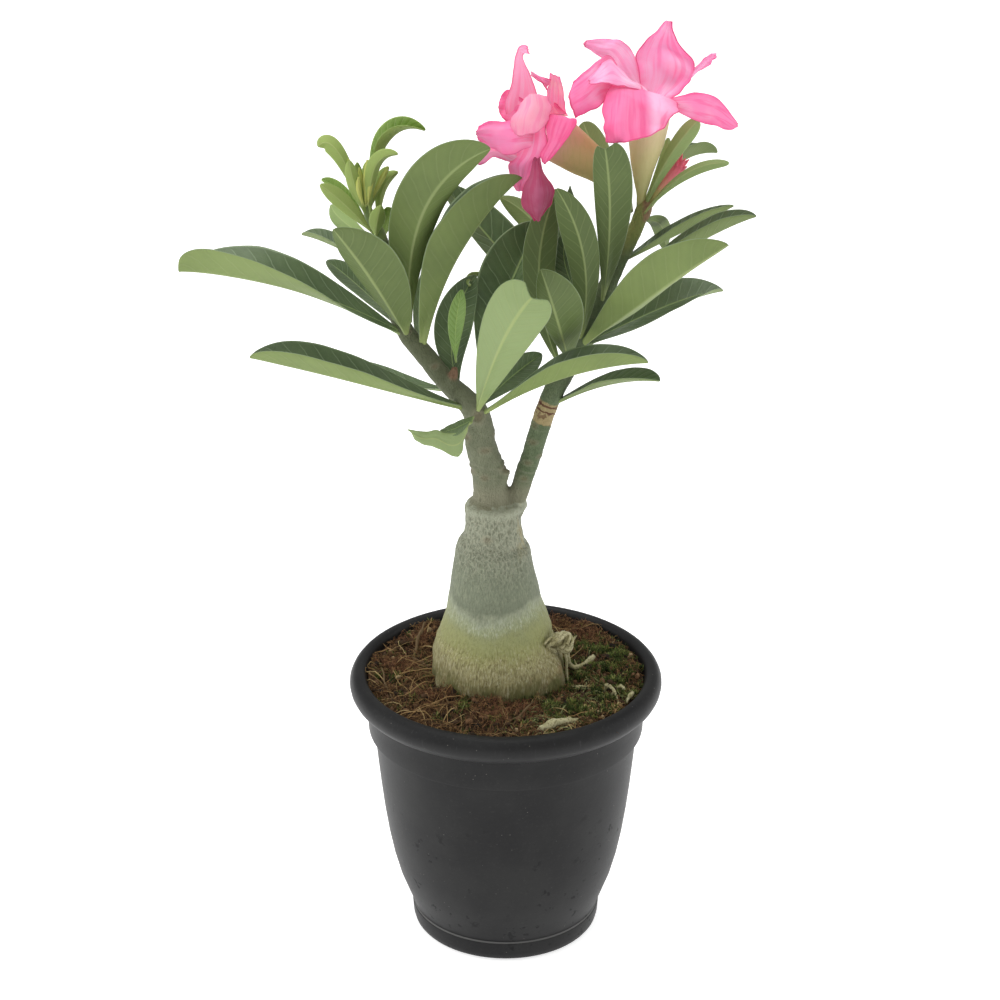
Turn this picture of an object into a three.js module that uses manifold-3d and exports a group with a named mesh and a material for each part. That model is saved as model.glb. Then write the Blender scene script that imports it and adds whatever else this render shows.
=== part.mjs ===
// Potted desert rose: a swollen trunk with two branches, leaves and two flowers, standing in a round pot.
// Millimetres. The origin is the middle of the pot's underside, +X to the right, +Y to the back, +Z up.
import * as THREE from "three";
import { mergeVertices } from "three/addons/utils/BufferGeometryUtils.js";
import Module from "manifold-3d";

const wasm = await Module();
wasm.setup();

// Driving dimensions
const RIM_RADIUS = 76;
const POT_HEIGHT = 139;
const FOOT_RADIUS = 46.8;
const WALL = 1.7;
const FLOOR = 3.4;
const DRAIN_HOLES = 6;
const DRAIN_HOLE_RADIUS = 4;
const DRAIN_CIRCLE = 26;
const SOIL_LEVEL = 134;
const TRUNK_FOOT = [-4, 0, 112];
const CLEARANCE = 0.3;
const LEAF_THICKNESS = 1.0;
const PETAL_THICKNESS = 0.8;
const LEAST_HALF = 0.5; // half the width of a leaf's stalk and tip

// Numbers of steps around and along the round pieces
const ROUND = 32;
const LIMB_ROUND = 12;
const BLADE_STEPS = 7;
const HALF_STEPS = 2;

const plant = new THREE.Group();
plant.name = "potted_desert_rose";

const MATERIALS = {
  pot: { color: 0x2f3031, roughness: 0.45 },
  soil: { color: 0x4b3324, roughness: 0.95 },
  bark: { color: 0x8f967c, roughness: 0.8 },
  root: { color: 0xa39b7d, roughness: 0.85 },
  leaf: { color: 0x4e6e42, roughness: 0.4 },
  young: { color: 0x86a550, roughness: 0.45 },
  petal: { color: 0xf27cb2, roughness: 0.6 },
  tube: { color: 0xd2c795, roughness: 0.6 },
  bud: { color: 0xc9506b, roughness: 0.55 },
};

function addPiece(name, solid, look) {
  const { vertProperties, triVerts, numProp } = solid.getMesh();
  const positions = new Float32Array(triVerts.length * 3);
  triVerts.forEach((vertex, i) => {
    positions.set(vertProperties.subarray(vertex * numProp, vertex * numProp + 3), i * 3);
  });
  const geometry = new THREE.BufferGeometry();
  geometry.setAttribute("position", new THREE.BufferAttribute(positions, 3));
  geometry.computeVertexNormals();
  const mesh = new THREE.Mesh(geometry, new THREE.MeshStandardMaterial(MATERIALS[look]));
  mesh.name = name;
  plant.add(mesh);
}

function solidFrom(geometry) {
  const bare = new THREE.BufferGeometry();
  bare.setAttribute("position", geometry.getAttribute("position"));
  if (geometry.index) bare.setIndex(geometry.index);
  const merged = mergeVertices(bare, 1e-4);
  return new wasm.Manifold(new wasm.Mesh({
    numProp: 3,
    vertProperties: merged.attributes.position.array,
    triVerts: new Uint32Array(merged.index.array),
  }));
}

const union = (solids) => solids.reduce((whole, solid) => whole.add(solid));

// The largest piece of a solid, for what a trim leaves behind
const mainBody = (solid) => solid.decompose().reduce((a, b) => (b.volume() > a.volume() ? b : a));

// A turned solid about +Z from radius and height pairs that start and end on the axis
function turned(profile, steps = ROUND) {
  const points = profile.map(([radius, height]) => new THREE.Vector2(radius, height));
  const geometry = new THREE.LatheGeometry(points, steps);
  geometry.rotateX(Math.PI / 2);
  return solidFrom(geometry);
}

// A closed solid over a grid of rings, each ring a list of points, with flat ends
function lofted(rings) {
  const around = rings[0].length;
  const positions = [];
  const face = (...corners) => corners.forEach((corner) => positions.push(...corner.toArray()));
  for (let i = 0; i + 1 < rings.length; i++) {
    for (let j = 0; j < around; j++) {
      const k = (j + 1) % around;
      face(rings[i][j], rings[i][k], rings[i + 1][k]);
      face(rings[i][j], rings[i + 1][k], rings[i + 1][j]);
    }
  }
  const [first, last] = [rings[0], rings[rings.length - 1]];
  for (let j = 0; j < around / 2; j++) {
    const [k, l, m] = [j + 1, around - j - 1, (around - j) % around];
    if (k !== l) face(last[j], last[k], last[l]);
    if (k !== l) face(first[j], first[l], first[k]);
    if (j !== m) face(last[j], last[l], last[m]);
    if (j !== m) face(first[j], first[m], first[l]);
  }
  const geometry = new THREE.BufferGeometry();
  geometry.setAttribute("position", new THREE.Float32BufferAttribute(positions, 3));
  return solidFrom(geometry);
}

// A round limb through stations of x, y, z and radius; grow widens it evenly
function limb(stations, grow = 0, perSpan = 2) {
  const path = new THREE.CatmullRomCurve3(stations.map(([x, y, z]) => new THREE.Vector3(x, y, z)));
  const steps = (stations.length - 1) * perSpan;
  const rings = [];
  for (let i = 0; i <= steps; i++) {
    const t = i / steps;
    const span = Math.min(Math.floor(i / perSpan), stations.length - 2);
    const share = i / perSpan - span;
    const radius = stations[span][3] * (1 - share) + stations[span + 1][3] * share + grow;
    const along = path.getTangent(t);
    const side = new THREE.Vector3(0, 1, 0).cross(along).normalize();
    const front = along.clone().cross(side);
    const centre = path.getPoint(t);
    const ring = [];
    for (let j = 0; j < LIMB_ROUND; j++) {
      const angle = (2 * Math.PI * j) / LIMB_ROUND;
      ring.push(centre.clone()
        .addScaledVector(side, radius * Math.cos(angle))
        .addScaledVector(front, radius * Math.sin(angle)));
    }
    rings.push(ring);
  }
  return lofted(rings);
}

const direction = (bearing, rise) => new THREE.Vector3(
  Math.cos(THREE.MathUtils.degToRad(bearing)) * Math.cos(THREE.MathUtils.degToRad(rise)),
  Math.sin(THREE.MathUtils.degToRad(bearing)) * Math.cos(THREE.MathUtils.degToRad(rise)),
  Math.sin(THREE.MathUtils.degToRad(rise)),
);

const APEX_POWER = { round: 0.7, sharp: 1.1, blunt: 0.45, notch: 0.3 };

// Half the blade's width at t from the stalk to the tip, as a share of its widest
function bladeOutline(t, { peak = 0.65, apex = "round", neck = 0, wedge = 1.25 }) {
  if (t < peak) {
    const swell = Math.sin((Math.PI / 2) * (t / peak));
    return neck ? neck + (1 - neck) * swell : Math.max(swell ** wedge, 0.05);
  }
  const reach = ((apex === "notch" ? 0.97 : 1) * (t - peak)) / (1 - peak);
  return 0.02 + 0.98 * Math.max(0, 1 - reach ** 2) ** APEX_POWER[apex];
}

// A thin leaf or petal along a curve from its stalk through its middle to its tip. Its upper side
// faces a bearing and a rise in degrees, its halves fold up from the midrib, and it twists by
// so many degrees from stalk to tip.
function blade(shape, thickness, usualSteps = BLADE_STEPS) {
  const { through, to, faces, fold = 0, width, twist = 0, skew = 0, notch = 0 } = shape;
  const { steps = usualSteps } = shape;
  const start = new THREE.Vector3(...shape.from);
  const end = new THREE.Vector3(...to);
  const pull = new THREE.Vector3(...through).multiplyScalar(2)
    .addScaledVector(start, -0.5).addScaledVector(end, -0.5);
  const midrib = new THREE.QuadraticBezierCurve3(start, pull, end);
  const rings = [];
  for (let i = 0; i <= steps; i++) {
    const t = i / steps;
    const along = midrib.getTangent(t);
    const up = direction(...faces);
    up.addScaledVector(along, -up.dot(along)).normalize();
    up.applyAxisAngle(along, THREE.MathUtils.degToRad(twist * (t - 0.5)));
    const side = along.clone().cross(up);
    const lift = THREE.MathUtils.degToRad(fold) * Math.min(1, 0.4 + 1.2 * t);
    const half = Math.max(LEAST_HALF, (width / 2) * bladeOutline(t, shape));
    const top = [];
    const bottom = [];
    for (let j = -HALF_STEPS; j <= HALF_STEPS; j++) {
      const share = Math.abs(j) / HALF_STEPS;
      const hand = Math.sign(j);
      const out = half * share * (1 + skew * (hand > 0 ? 1 : -1));
      const point = midrib.getPoint(t)
        .addScaledVector(side, hand * out * Math.cos(lift))
        .addScaledVector(up, out * Math.sin(lift))
        .addScaledVector(along, notch * share ** 1.3 * t ** 4);
      const normal = up.clone().multiplyScalar(hand ? Math.cos(lift) : 1)
        .addScaledVector(side, -hand * Math.sin(lift));
      const deep = share === 1 ? 0 : Math.min(thickness / 2, 0.3 * half) * (share ? 1 : 1.2);
      top.push(point.clone().addScaledVector(normal, deep));
      if (share < 1) bottom.unshift(point.clone().addScaledVector(normal, -deep));
    }
    rings.push([...top, ...bottom]);
  }
  return lofted(rings);
}

// Pot: a turned shell with a rolled rim, a collar and a foot; the underside is hollowed between its
// foot ring and its middle, and drain holes go through there
const RIM_ROLL = [
  [67.6, 124], [70.6, 125], [74, 127.6], [RIM_RADIUS, 132], [75.4, 136], [73, 138.4],
  [70.4, POT_HEIGHT], [67.6, 136.4],
];
const BODY = [
  [46.4, 11.6], [48.2, 16], [53, 30], [58.2, 53], [61.6, 79], [64.2, 106],
];
const pot = turned([
  [0, 0], [14, 0], [15.2, 1.6], [36, 1.6], [38, 0], [42.5, 0], [45.2, 1.4], [FOOT_RADIUS, 4.5],
  [FOOT_RADIUS, 10.6], ...BODY, [67, 108.4], [67.2, 110],
  ...RIM_ROLL, [66, 124], [65.4, 110],
  ...BODY.toReversed().map(([radius, height]) => [radius - WALL, height]),
  [43.4, FLOOR + 2], [41.5, FLOOR], [0, FLOOR],
]);
const drainHoles = Array.from({ length: DRAIN_HOLES }, (_, i) => {
  const angle = (2 * Math.PI * i) / DRAIN_HOLES;
  const plug = new THREE.CylinderGeometry(DRAIN_HOLE_RADIUS, DRAIN_HOLE_RADIUS, FLOOR + 2, 12);
  plug.rotateX(Math.PI / 2).translate(DRAIN_CIRCLE, 0, FLOOR / 2).rotateZ(angle);
  return solidFrom(plug);
});
addPiece("pot", pot.subtract(union(drainHoles)), "pot");

// Trunk: the swollen foot with its bark collar, and the branches that part above it
const [trunkX, trunkY, trunkZ] = TRUNK_FOOT;
const SWOLLEN = [
  [trunkX, trunkY, trunkZ, 14], [-3.5, 0, 122, 24], [-3.5, 0, 130, 30], [-3.5, 0, 137, 32],
  [-4.5, 0, 146, 31.4], [-4.8, 0, 159, 27.8], [-5, 0, 167, 25.2], [-5.6, 0, 181, 21.7],
  [-6, 0, 195.5, 19], [-6.3, 0, 203, 17], [-6, 0, 209, 14.3], [-6, 0, 221, 13.2],
  [-5.2, 0, 227, 11.6],
];
const LEFT_BRANCH = [
  [-6, 0, 222, 9.6], [-7.5, 0, 236, 8.2], [-9, 0, 246, 7.7], [-12, 0, 257, 7.3],
  [-12.6, 0, 266, 6.8], [-14.5, 0, 273, 6.1], [-19, 0, 279, 5.4], [-26, 0, 286, 4.9],
  [-37.5, 0, 301, 4.7], [-46.5, 0, 313, 4.2], [-52, 0, 328, 3.7], [-54, 0, 347, 3.2],
  [-57, 0, 358, 3.2],
];
const RIGHT_BRANCH = [
  [3, 1, 222, 5.6], [6, 1, 231, 4.6], [9, 1, 241, 4.7], [12, 2, 250, 4.7], [14.5, 2, 259, 4.8],
  [19.5, 3, 275, 4.9], [23, 4, 283, 5], [30, 6, 296, 4.9], [36.5, 6, 311, 4.7],
  [42.5, 6, 323, 4.5], [51.5, 8, 344, 4], [57.5, 10, 355, 3.6], [60.5, 11, 362, 3.8],
  [62.5, 12, 368, 4.6],
];
const SIDE_STUB = [[-24, -1, 284, 3], [-24.5, -4, 291, 2.6], [-23.5, -5, 297, 1.6]];
const LEAF_SCAR = [[-4, -5, 237, 4], [-4, -8.2, 240, 1.6]];
const trunkOf = (grow) => union([
  ...[SWOLLEN, LEFT_BRANCH, RIGHT_BRANCH].map((stations) => limb(stations, grow, 1)),
  ...[SIDE_STUB, LEAF_SCAR].map((stations) => limb(stations, grow)),
]);
const trunk = trunkOf(0);
const trunkRoom = trunkOf(CLEARANCE);
addPiece("trunk", trunk, "bark");

// Soil: it fills the pot to just under the rim and parts round the trunk's foot
const soilInside = BODY.filter(([, height]) => height > 20)
  .map(([radius, height]) => [radius - WALL - CLEARANCE, height]);
const soil = turned([
  [0, FLOOR + CLEARANCE], [41, FLOOR + CLEARANCE], [45.6, 16], ...soilInside,
  [65, 110.5], [66.3, SOIL_LEVEL - 5], [66.5, SOIL_LEVEL - 2.5], [58, SOIL_LEVEL - 0.5],
  [48, SOIL_LEVEL + 0.5], [38, SOIL_LEVEL - 1], [0, SOIL_LEVEL + 1],
]);
addPiece("soil", soil.subtract(trunkRoom), "soil");

// A woody root that loops out of the trunk's side and into the soil
const SIDE_ROOT = [
  [22, -9, 156, 1.8], [26, -9, 157, 2.6], [28.6, -7, 152.5, 2], [30.5, -4, 145, 1.7],
  [33.3, 1, 138.8, 1.5], [38, 5, 138.8, 1.4], [43, 9, 140.4, 1.2],
];
addPiece("side_root", mainBody(limb(SIDE_ROOT).subtract(trunkRoom).subtract(soil)), "root");

// The branch's centre at a height, where a leaf stalk springs from
function onBranch(stations, height) {
  const above = Math.max(1, stations.findIndex(([, , z]) => z >= height));
  const [low, high] = [stations[above - 1], stations[above]];
  const share = (height - low[2]) / (high[2] - low[2]);
  return low.slice(0, 3).map((value, axis) => value + share * (high[axis] - value));
}
const left = (height) => onBranch(LEFT_BRANCH, height);
const right = (height) => onBranch(RIGHT_BRANCH, height);

// Leaves: where each springs from its branch, the middle and tip of its midrib, the way its upper
// side faces, how far its halves fold up, and its width laid flat
const LEAVES = {
  // up the left branch
  leaf_left_1: { from: left(311), through: [-58, -30, 345], to: [-75, -46, 377], faces: [80, 30],
    fold: 22, width: 25, peak: 0.66, wedge: 1.05, skew: -0.3 },
  leaf_left_2: { from: left(310), through: [-96, -20, 340], to: [-147, -18, 348], faces: [-20, 70],
    fold: 46, width: 35, peak: 0.75, apex: "blunt", twist: 60, steps: 14 },
  leaf_left_3: { from: [-44, -3, 318], through: [-37, -22, 377], to: [-7, -28, 408],
    faces: [105, 20], fold: 24, width: 28, wedge: 0.95, skew: 0.08 },
  leaf_left_4: { from: left(304), through: [-21, -10, 354], to: [7, -6, 388], faces: [180, 36],
    fold: 58, width: 37, peak: 0.64, wedge: 0.95, skew: 0.1, steps: 14 },
  leaf_left_5: { from: [-41, 2, 306], through: [-38, 20, 323], to: [-28, 30, 344], faces: [-95, 35],
    fold: 20, width: 10, wedge: 1 },
  leaf_left_6: { from: left(311), through: [-67, 20, 326], to: [-84, 32, 336], faces: [-75, 55],
    fold: 20, width: 12 },
  leaf_left_7: { from: left(341), through: [-78, 20, 347], to: [-95, 32, 349], faces: [-40, 80],
    fold: 45, width: 12 },
  leaf_left_8: { from: left(354), through: [-74, 24, 357], to: [-81, 36, 362], faces: [50, -30],
    fold: 10, width: 9 },
  leaf_left_9: { from: left(284), through: [-57, 28, 278], to: [-81, 46, 280], faces: [-135, 75],
    fold: 25, width: 14 },
  leaf_left_10: { from: left(281), through: [-25, 12, 308], to: [-14, 20, 333], faces: [-90, 15],
    fold: 20, width: 19, peak: 0.58, wedge: 1.4 },
  leaf_left_11: { from: [-23, -3, 298], through: [-23, -10, 319], to: [-20, -12, 337],
    faces: [-90, -15], fold: 15, width: 8 },
  // round the left branch's knee
  leaf_fork_1: { from: [-13, -3, 274], through: [-2, -42, 322], to: [11, -62, 351], faces: [60, 30],
    fold: 8, width: 26, peak: 0.8, apex: "notch", wedge: 0.9, skew: 0.25, notch: 3 },
  leaf_fork_2: { from: left(275), through: [-67, -30, 299], to: [-115, -34, 313], faces: [-5, 70],
    fold: 52, width: 27, peak: 0.72, twist: 10 },
  leaf_fork_3: { from: [-12, -2, 273], through: [25, -24, 299], to: [64, -30, 309],
    faces: [170, 70], fold: 55, width: 24 },
  leaf_fork_4: { from: [-13, 2, 274], through: [0, 20, 321], to: [17, 34, 354], faces: [-120, 35],
    fold: 44, width: 34, peak: 0.62, wedge: 1.6 },
  leaf_fork_5: { from: [-15, -2, 272], through: [-25, -20, 268], to: [-46, -30, 276],
    faces: [-55, -40], width: 20, peak: 0.55, apex: "sharp", twist: -110 },
  leaf_fork_6: { from: [-13, 1, 274], through: [2, 12, 285], to: [17, 20, 294], faces: [-75, 35],
    fold: 25, width: 13 },
  // in the middle, from the back of the right branch
  leaf_middle_1: { from: right(302), through: [5, 44, 327], to: [-31, 60, 365], faces: [-85, 30],
    fold: 20, width: 20, skew: 0.3 },
  leaf_middle_2: { from: right(316), through: [19, 46, 343], to: [-3, 60, 358], faces: [70, -40],
    fold: 10, width: 12 },
  leaf_middle_3: { from: right(318), through: [28, 14, 337], to: [28, 20, 354], faces: [-90, 10],
    fold: 15, width: 11 },
  leaf_middle_4: { from: right(304), through: [24, 30, 341], to: [21, 44, 368], faces: [-95, 30],
    fold: 15, width: 11 },
  // up the right branch
  leaf_right_1: { from: [44, 4, 326], through: [46, -14, 369], to: [43, -26, 407], faces: [95, 20],
    fold: 12, width: 18, peak: 0.75, apex: "notch", notch: 2, skew: -0.25, wedge: 1 },
  leaf_right_2: { from: right(304), through: [35, -18, 352], to: [22, -26, 389], faces: [95, 15],
    fold: 15, width: 16, peak: 0.66, wedge: 1 },
  leaf_right_3: { from: right(295), through: [23, -28, 327], to: [15, -42, 357], faces: [100, 30],
    fold: 12, width: 20, peak: 0.6, skew: -0.35 },
  leaf_right_4: { from: right(290), through: [15, 2, 336], to: [23, 12, 377], faces: [90, -5],
    fold: 15, width: 16 },
  leaf_right_5: { from: right(318), through: [32, 32, 344], to: [30, 46, 368], faces: [-95, 35],
    fold: 15, width: 9, apex: "sharp" },
  leaf_right_6: { from: right(275), through: [46, -6, 289], to: [70, -22, 297], faces: [155, 70],
    fold: 27, width: 17 },
  leaf_right_7: { from: right(304), through: [66, -24, 339], to: [97, -40, 368], faces: [100, 40],
    fold: 36, width: 33, peak: 0.6 },
  leaf_right_8: { from: right(302), through: [73, 22, 316], to: [102, 30, 322], faces: [-110, 65],
    fold: 30, width: 25, twist: -60 },
  leaf_right_9: { from: right(344), through: [77, 26, 350], to: [106, 38, 361], faces: [165, 70],
    fold: 55, width: 12 },
  leaf_right_10: { from: right(322), through: [81, 6, 350], to: [113, 0, 368], faces: [175, 55],
    fold: 50, width: 18, peak: 0.7 },
  leaf_right_11: { from: right(362), through: [71, 30, 355], to: [75, 44, 337], faces: [125, 30],
    fold: 10, width: 9 },
  leaf_right_12: { from: right(356), through: [45, 40, 378], to: [36, 56, 396], faces: [60, -35],
    fold: 10, width: 14, apex: "blunt" },
  // round the flowers' stalks
  leaf_top_1: { from: [63, 12, 367], through: [73, 8, 392], to: [86, 6, 411], faces: [65, 0],
    fold: 25, width: 9, peak: 0.8, apex: "blunt" },
  leaf_top_2: { from: [61, 15, 366], through: [70, 20, 383], to: [74, 26, 397], faces: [90, -20],
    fold: 20, width: 4.6, apex: "blunt" },
  leaf_top_3: { from: [63, 15, 367], through: [79, 32, 383], to: [98, 44, 385], faces: [170, 65],
    fold: 45, width: 17, peak: 0.62 },
  leaf_top_4: { from: [63, 9, 366], through: [81, 5, 386], to: [100, 2, 392], faces: [70, -30],
    fold: 20, width: 5.4, apex: "blunt" },
};
for (const [name, shape] of Object.entries(LEAVES))
  addPiece(name, mainBody(blade(shape, LEAF_THICKNESS).subtract(trunkRoom)), "leaf");

// The young leaves crowd on the left branch's growing point as one piece
const GROWING_POINT = [[-57, 0, 358.6, 2.6], [-61, 1, 366, 2.8], [-63, 1, 373, 2]];
const YOUNG_LEAVES = [
  { from: [-62, 2, 362], through: [-74, 2, 395], to: [-84, 4, 400], faces: [105, -15],
    fold: 30, width: 9, peak: 0.72, apex: "blunt" },
  { from: [-62, 4, 362], through: [-74, 10, 375], to: [-84, 14, 381], faces: [-65, 45],
    fold: 35, width: 5.5, peak: 0.6 },
  { from: [-60, -1, 360], through: [-72, -6, 375], to: [-83, -10, 386], faces: [105, 10],
    fold: 20, width: 7, peak: 0.6 },
  { from: [-62, 3, 370], through: [-53, 4, 401], to: [-36, 0, 408], faces: [-165, 35],
    fold: 62, width: 15, peak: 0.55 },
  { from: [-61, -1, 367], through: [-59, -6, 392], to: [-48, -10, 400], faces: [100, 20],
    fold: 35, width: 6.4, peak: 0.6 },
  { from: [-62, 3, 368], through: [-58, 8, 380], to: [-53, 10, 388], faces: [90, -15],
    fold: 20, width: 3.2 },
  { from: [-63, 1, 369], through: [-63, 0, 384], to: [-62, 0, 394], faces: [90, 5],
    fold: 20, width: 3.4 },
  { from: [-63, 2, 369], through: [-66, 4, 381], to: [-67, 4, 390], faces: [95, -5],
    fold: 20, width: 3.2 },
  { from: [-63, 1, 368], through: [-68, -4, 384], to: [-70, -6, 396], faces: [100, 10],
    fold: 20, width: 5 },
  { from: [-58, 3, 362], through: [-56, 8, 378], to: [-49, 12, 385], faces: [115, -10],
    fold: 40, width: 5 },
  { from: [-59, -1, 359], through: [-58, -8, 368], to: [-56, -9, 376], faces: [95, 15],
    fold: 25, width: 8, peak: 0.5 },
  { from: [-56, 1, 357], through: [-54, 9, 363], to: [-54, 10, 369], faces: [-85, 25],
    fold: 10, width: 6.5, apex: "blunt" },
];
const shoot = union([limb(GROWING_POINT), ...YOUNG_LEAVES.map((shape) => blade(shape, 0.9, 5))]);
addPiece("young_leaves", mainBody(shoot.subtract(trunkRoom)), "young");

// Flowers: a stalk that widens into a hollow tube, and the petals that spread from its lip
const TUBE_RIGHT = [
  [61, 12.5, 367, 1.7], [61.5, 12, 374, 2.2], [61.8, 12, 383, 4.4], [62.3, 12, 391, 6.4],
  [63.2, 12, 399, 8.3], [64, 12, 409, 9.7], [64.3, 12, 417, 10.3],
];
const TUBE_LEFT = [
  [56.5, 11, 367, 1.6], [54.5, 11, 373, 2.4], [50, 11, 380, 4.6], [42, 10, 387.5, 7.2],
  [33, 9, 394, 9.2], [25, 8, 400, 10.6],
];
function flowerTube(stations, grow = 0) {
  const outside = limb(stations, grow, 1);
  if (grow) return outside;
  const throat = stations.slice(-4).map(([x, y, z, radius]) => [x, y, z, radius - 0.9]);
  const [before, end] = throat.slice(-2);
  throat.push(end.map((value, i) => value + 0.3 * (value - before[i])));
  return outside.subtract(limb(throat, 0, 1));
}
addPiece("tube_right", mainBody(flowerTube(TUBE_RIGHT).subtract(trunkRoom)), "tube");
addPiece("tube_left", mainBody(flowerTube(TUBE_LEFT).subtract(trunkRoom)), "tube");
const tubesRoom = union([TUBE_RIGHT, TUBE_LEFT].map((stations) => flowerTube(stations, CLEARANCE)));

const PETALS = {
  petal_right_1: { from: [56, 17, 421], through: [49, 24, 434], to: [35, 26, 441], faces: [-90, 25],
    fold: 8, width: 19, peak: 0.55 },
  petal_right_2: { from: [55, 11, 421], through: [42, 4, 430], to: [30, -4, 414], faces: [-65, 25],
    fold: 5, width: 22, peak: 0.62 },
  petal_right_3: { from: [62, 3, 421], through: [61, -14, 426], to: [56, -20, 409],
    faces: [-85, 55], fold: -22, width: 35, peak: 0.55, apex: "blunt", neck: 0.5 },
  petal_right_4: { from: [73, 9, 420], through: [86, 4, 419], to: [101, 0, 411], faces: [-100, 15],
    fold: 10, width: 14, peak: 0.6 },
  petal_right_5: { from: [65, 21, 421], through: [69, 20, 436], to: [72, 22, 452], faces: [-95, 10],
    fold: 8, width: 23, peak: 0.5, neck: 0.22 },
  petal_right_6: { from: [73, 18, 420], through: [84, 26, 427], to: [95, 30, 434],
    faces: [-80, 25], fold: 20, width: 16, peak: 0.4, apex: "sharp" },
  petal_left_1: { from: [14, 8, 409], through: [7, 6, 427], to: [8, 4, 445], faces: [-85, -5],
    fold: 15, width: 12, peak: 0.35, apex: "sharp", neck: 0.8 },
  petal_left_2: { from: [22, 12, 408], through: [24, 14, 419], to: [20, 14, 431], faces: [-90, 5],
    fold: 10, width: 8, peak: 0.6 },
  petal_left_3: { from: [14, 12, 406], through: [3, 14, 415], to: [-4, 16, 418], faces: [-90, 15],
    fold: 10, width: 18, peak: 0.6, apex: "blunt" },
  petal_left_4: { from: [17, -2, 405], through: [13, -14, 418], to: [12, -10, 428],
    faces: [100, 15], fold: 10, width: 17, peak: 0.6, apex: "blunt" },
  petal_left_5: { from: [15, 0, 402], through: [0, -4, 406], to: [-14, -6, 409], faces: [-75, 15],
    fold: 10, width: 16, peak: 0.6, apex: "blunt" },
  petal_left_6: { from: [17, 2, 399], through: [4, 4, 394], to: [1, 6, 380], faces: [-105, 0],
    fold: 10, width: 15, peak: 0.6, apex: "blunt" },
  petal_left_7: { from: [15, -8, 397], through: [22, -14, 407], to: [31, -16, 417], faces: [70, 5],
    width: 15, peak: 0.6 },
  petal_left_8: { from: [15, -6, 395], through: [14, -12, 384], to: [14, -10, 368],
    faces: [90, -10], fold: 10, width: 13.6, peak: 0.6 },
};
for (const [name, shape] of Object.entries(PETALS)) {
  const petal = blade({ neck: 0.35, ...shape }, PETAL_THICKNESS);
  addPiece(name, mainBody(petal.subtract(tubesRoom)), "petal");
}

// The closed flower bud on its stalk
const BUD = [
  [64.6, 13, 367, 1.2], [68, 13, 375, 1.8], [72, 13, 380, 2.8], [76, 13, 385, 3.9],
  [80, 13, 389, 3.4], [83.5, 13, 392.5, 0.8],
];
addPiece("bud", mainBody(limb(BUD).subtract(trunkRoom)), "bud");

export default plant;
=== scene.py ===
"""Potted desert rose: the looks of the pot, soil, trunk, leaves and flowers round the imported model.

Metres, +Z up, with the origin in the middle of the pot's underside. Tables are in millimetres.
"""

import math
import random

import bpy
from mathutils import Matrix, Vector, noise


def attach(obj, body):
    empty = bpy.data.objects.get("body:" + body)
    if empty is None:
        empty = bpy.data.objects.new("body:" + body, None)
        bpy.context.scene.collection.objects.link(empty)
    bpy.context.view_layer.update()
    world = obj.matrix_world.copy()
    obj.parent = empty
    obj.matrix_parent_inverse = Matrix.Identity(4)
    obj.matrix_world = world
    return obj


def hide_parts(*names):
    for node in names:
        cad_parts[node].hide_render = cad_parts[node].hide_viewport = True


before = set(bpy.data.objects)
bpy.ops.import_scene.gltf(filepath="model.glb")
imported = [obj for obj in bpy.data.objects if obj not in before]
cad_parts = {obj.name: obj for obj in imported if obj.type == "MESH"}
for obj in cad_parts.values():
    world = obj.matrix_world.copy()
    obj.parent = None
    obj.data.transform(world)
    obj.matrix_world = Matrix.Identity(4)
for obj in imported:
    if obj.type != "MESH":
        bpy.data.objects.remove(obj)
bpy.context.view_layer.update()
bpy.ops.object.select_all(action="DESELECT")

MM = 0.001
TRUNK_X = -4  # the middle of the trunk's foot, and of the ring of soil round it

# Camera and studio, in metres, degrees and watts
CAMERA_PLACE = (-0.0028, -1.15, 0.735)
CAMERA_PITCH = 23.8
LENS = 95.65  # millimetres
FLOOR_SIZE = 30
AIM = Vector((0, 0, 0.25))
LAMPS = {  # place, size and power
    "overhead": ((-0.2, 0.25, 2.1), 1.8, 26),
    "left": ((-1.7, -0.2, 0.9), 1.2, 9),
    "right": ((1.7, 0, 0.8), 1.2, 7),
    "front": ((-0.8, -1.6, 1.5), 0.9, 5),
}


# ---------------------------------------------------------------- camera, floor and light

def set_up_studio():
    camera_data = bpy.data.cameras.new("camera")
    camera_data.lens = LENS
    camera_data.clip_end = 20
    camera = bpy.data.objects.new("camera", camera_data)
    camera.location = CAMERA_PLACE
    camera.rotation_euler = (math.radians(90 - CAMERA_PITCH), 0, 0)
    bpy.context.scene.collection.objects.link(camera)
    bpy.context.scene.camera = camera

    bpy.ops.mesh.primitive_plane_add(size=FLOOR_SIZE, location=(0, 3, -0.0004))
    floor = added("floor")
    paint = Paint("floor_paper")
    paint.surface((0.9, 0.9, 0.9), 0.9, emission_color=(1, 1, 1, 1), emission_strength=0.7)
    floor.data.materials.append(paint.material)

    world = bpy.data.worlds.new("studio")
    world.use_nodes = True
    sky = world.node_tree.nodes["Background"]
    sky.inputs["Color"].default_value = (1, 1, 1, 1)
    sky.inputs["Strength"].default_value = 0.4
    bpy.context.scene.world = world
    for name, (place, size, watts) in LAMPS.items():
        lamp_data = bpy.data.lights.new(name, "AREA")
        lamp_data.size = size
        lamp_data.energy = watts
        lamp = bpy.data.objects.new(name, lamp_data)
        lamp.location = place
        lamp.rotation_euler = (AIM - Vector(place)).to_track_quat("-Z", "Y").to_euler()
        bpy.context.scene.collection.objects.link(lamp)
    bpy.context.scene.view_settings.view_transform = "Standard"


# ---------------------------------------------------------------- shader maths

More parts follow.
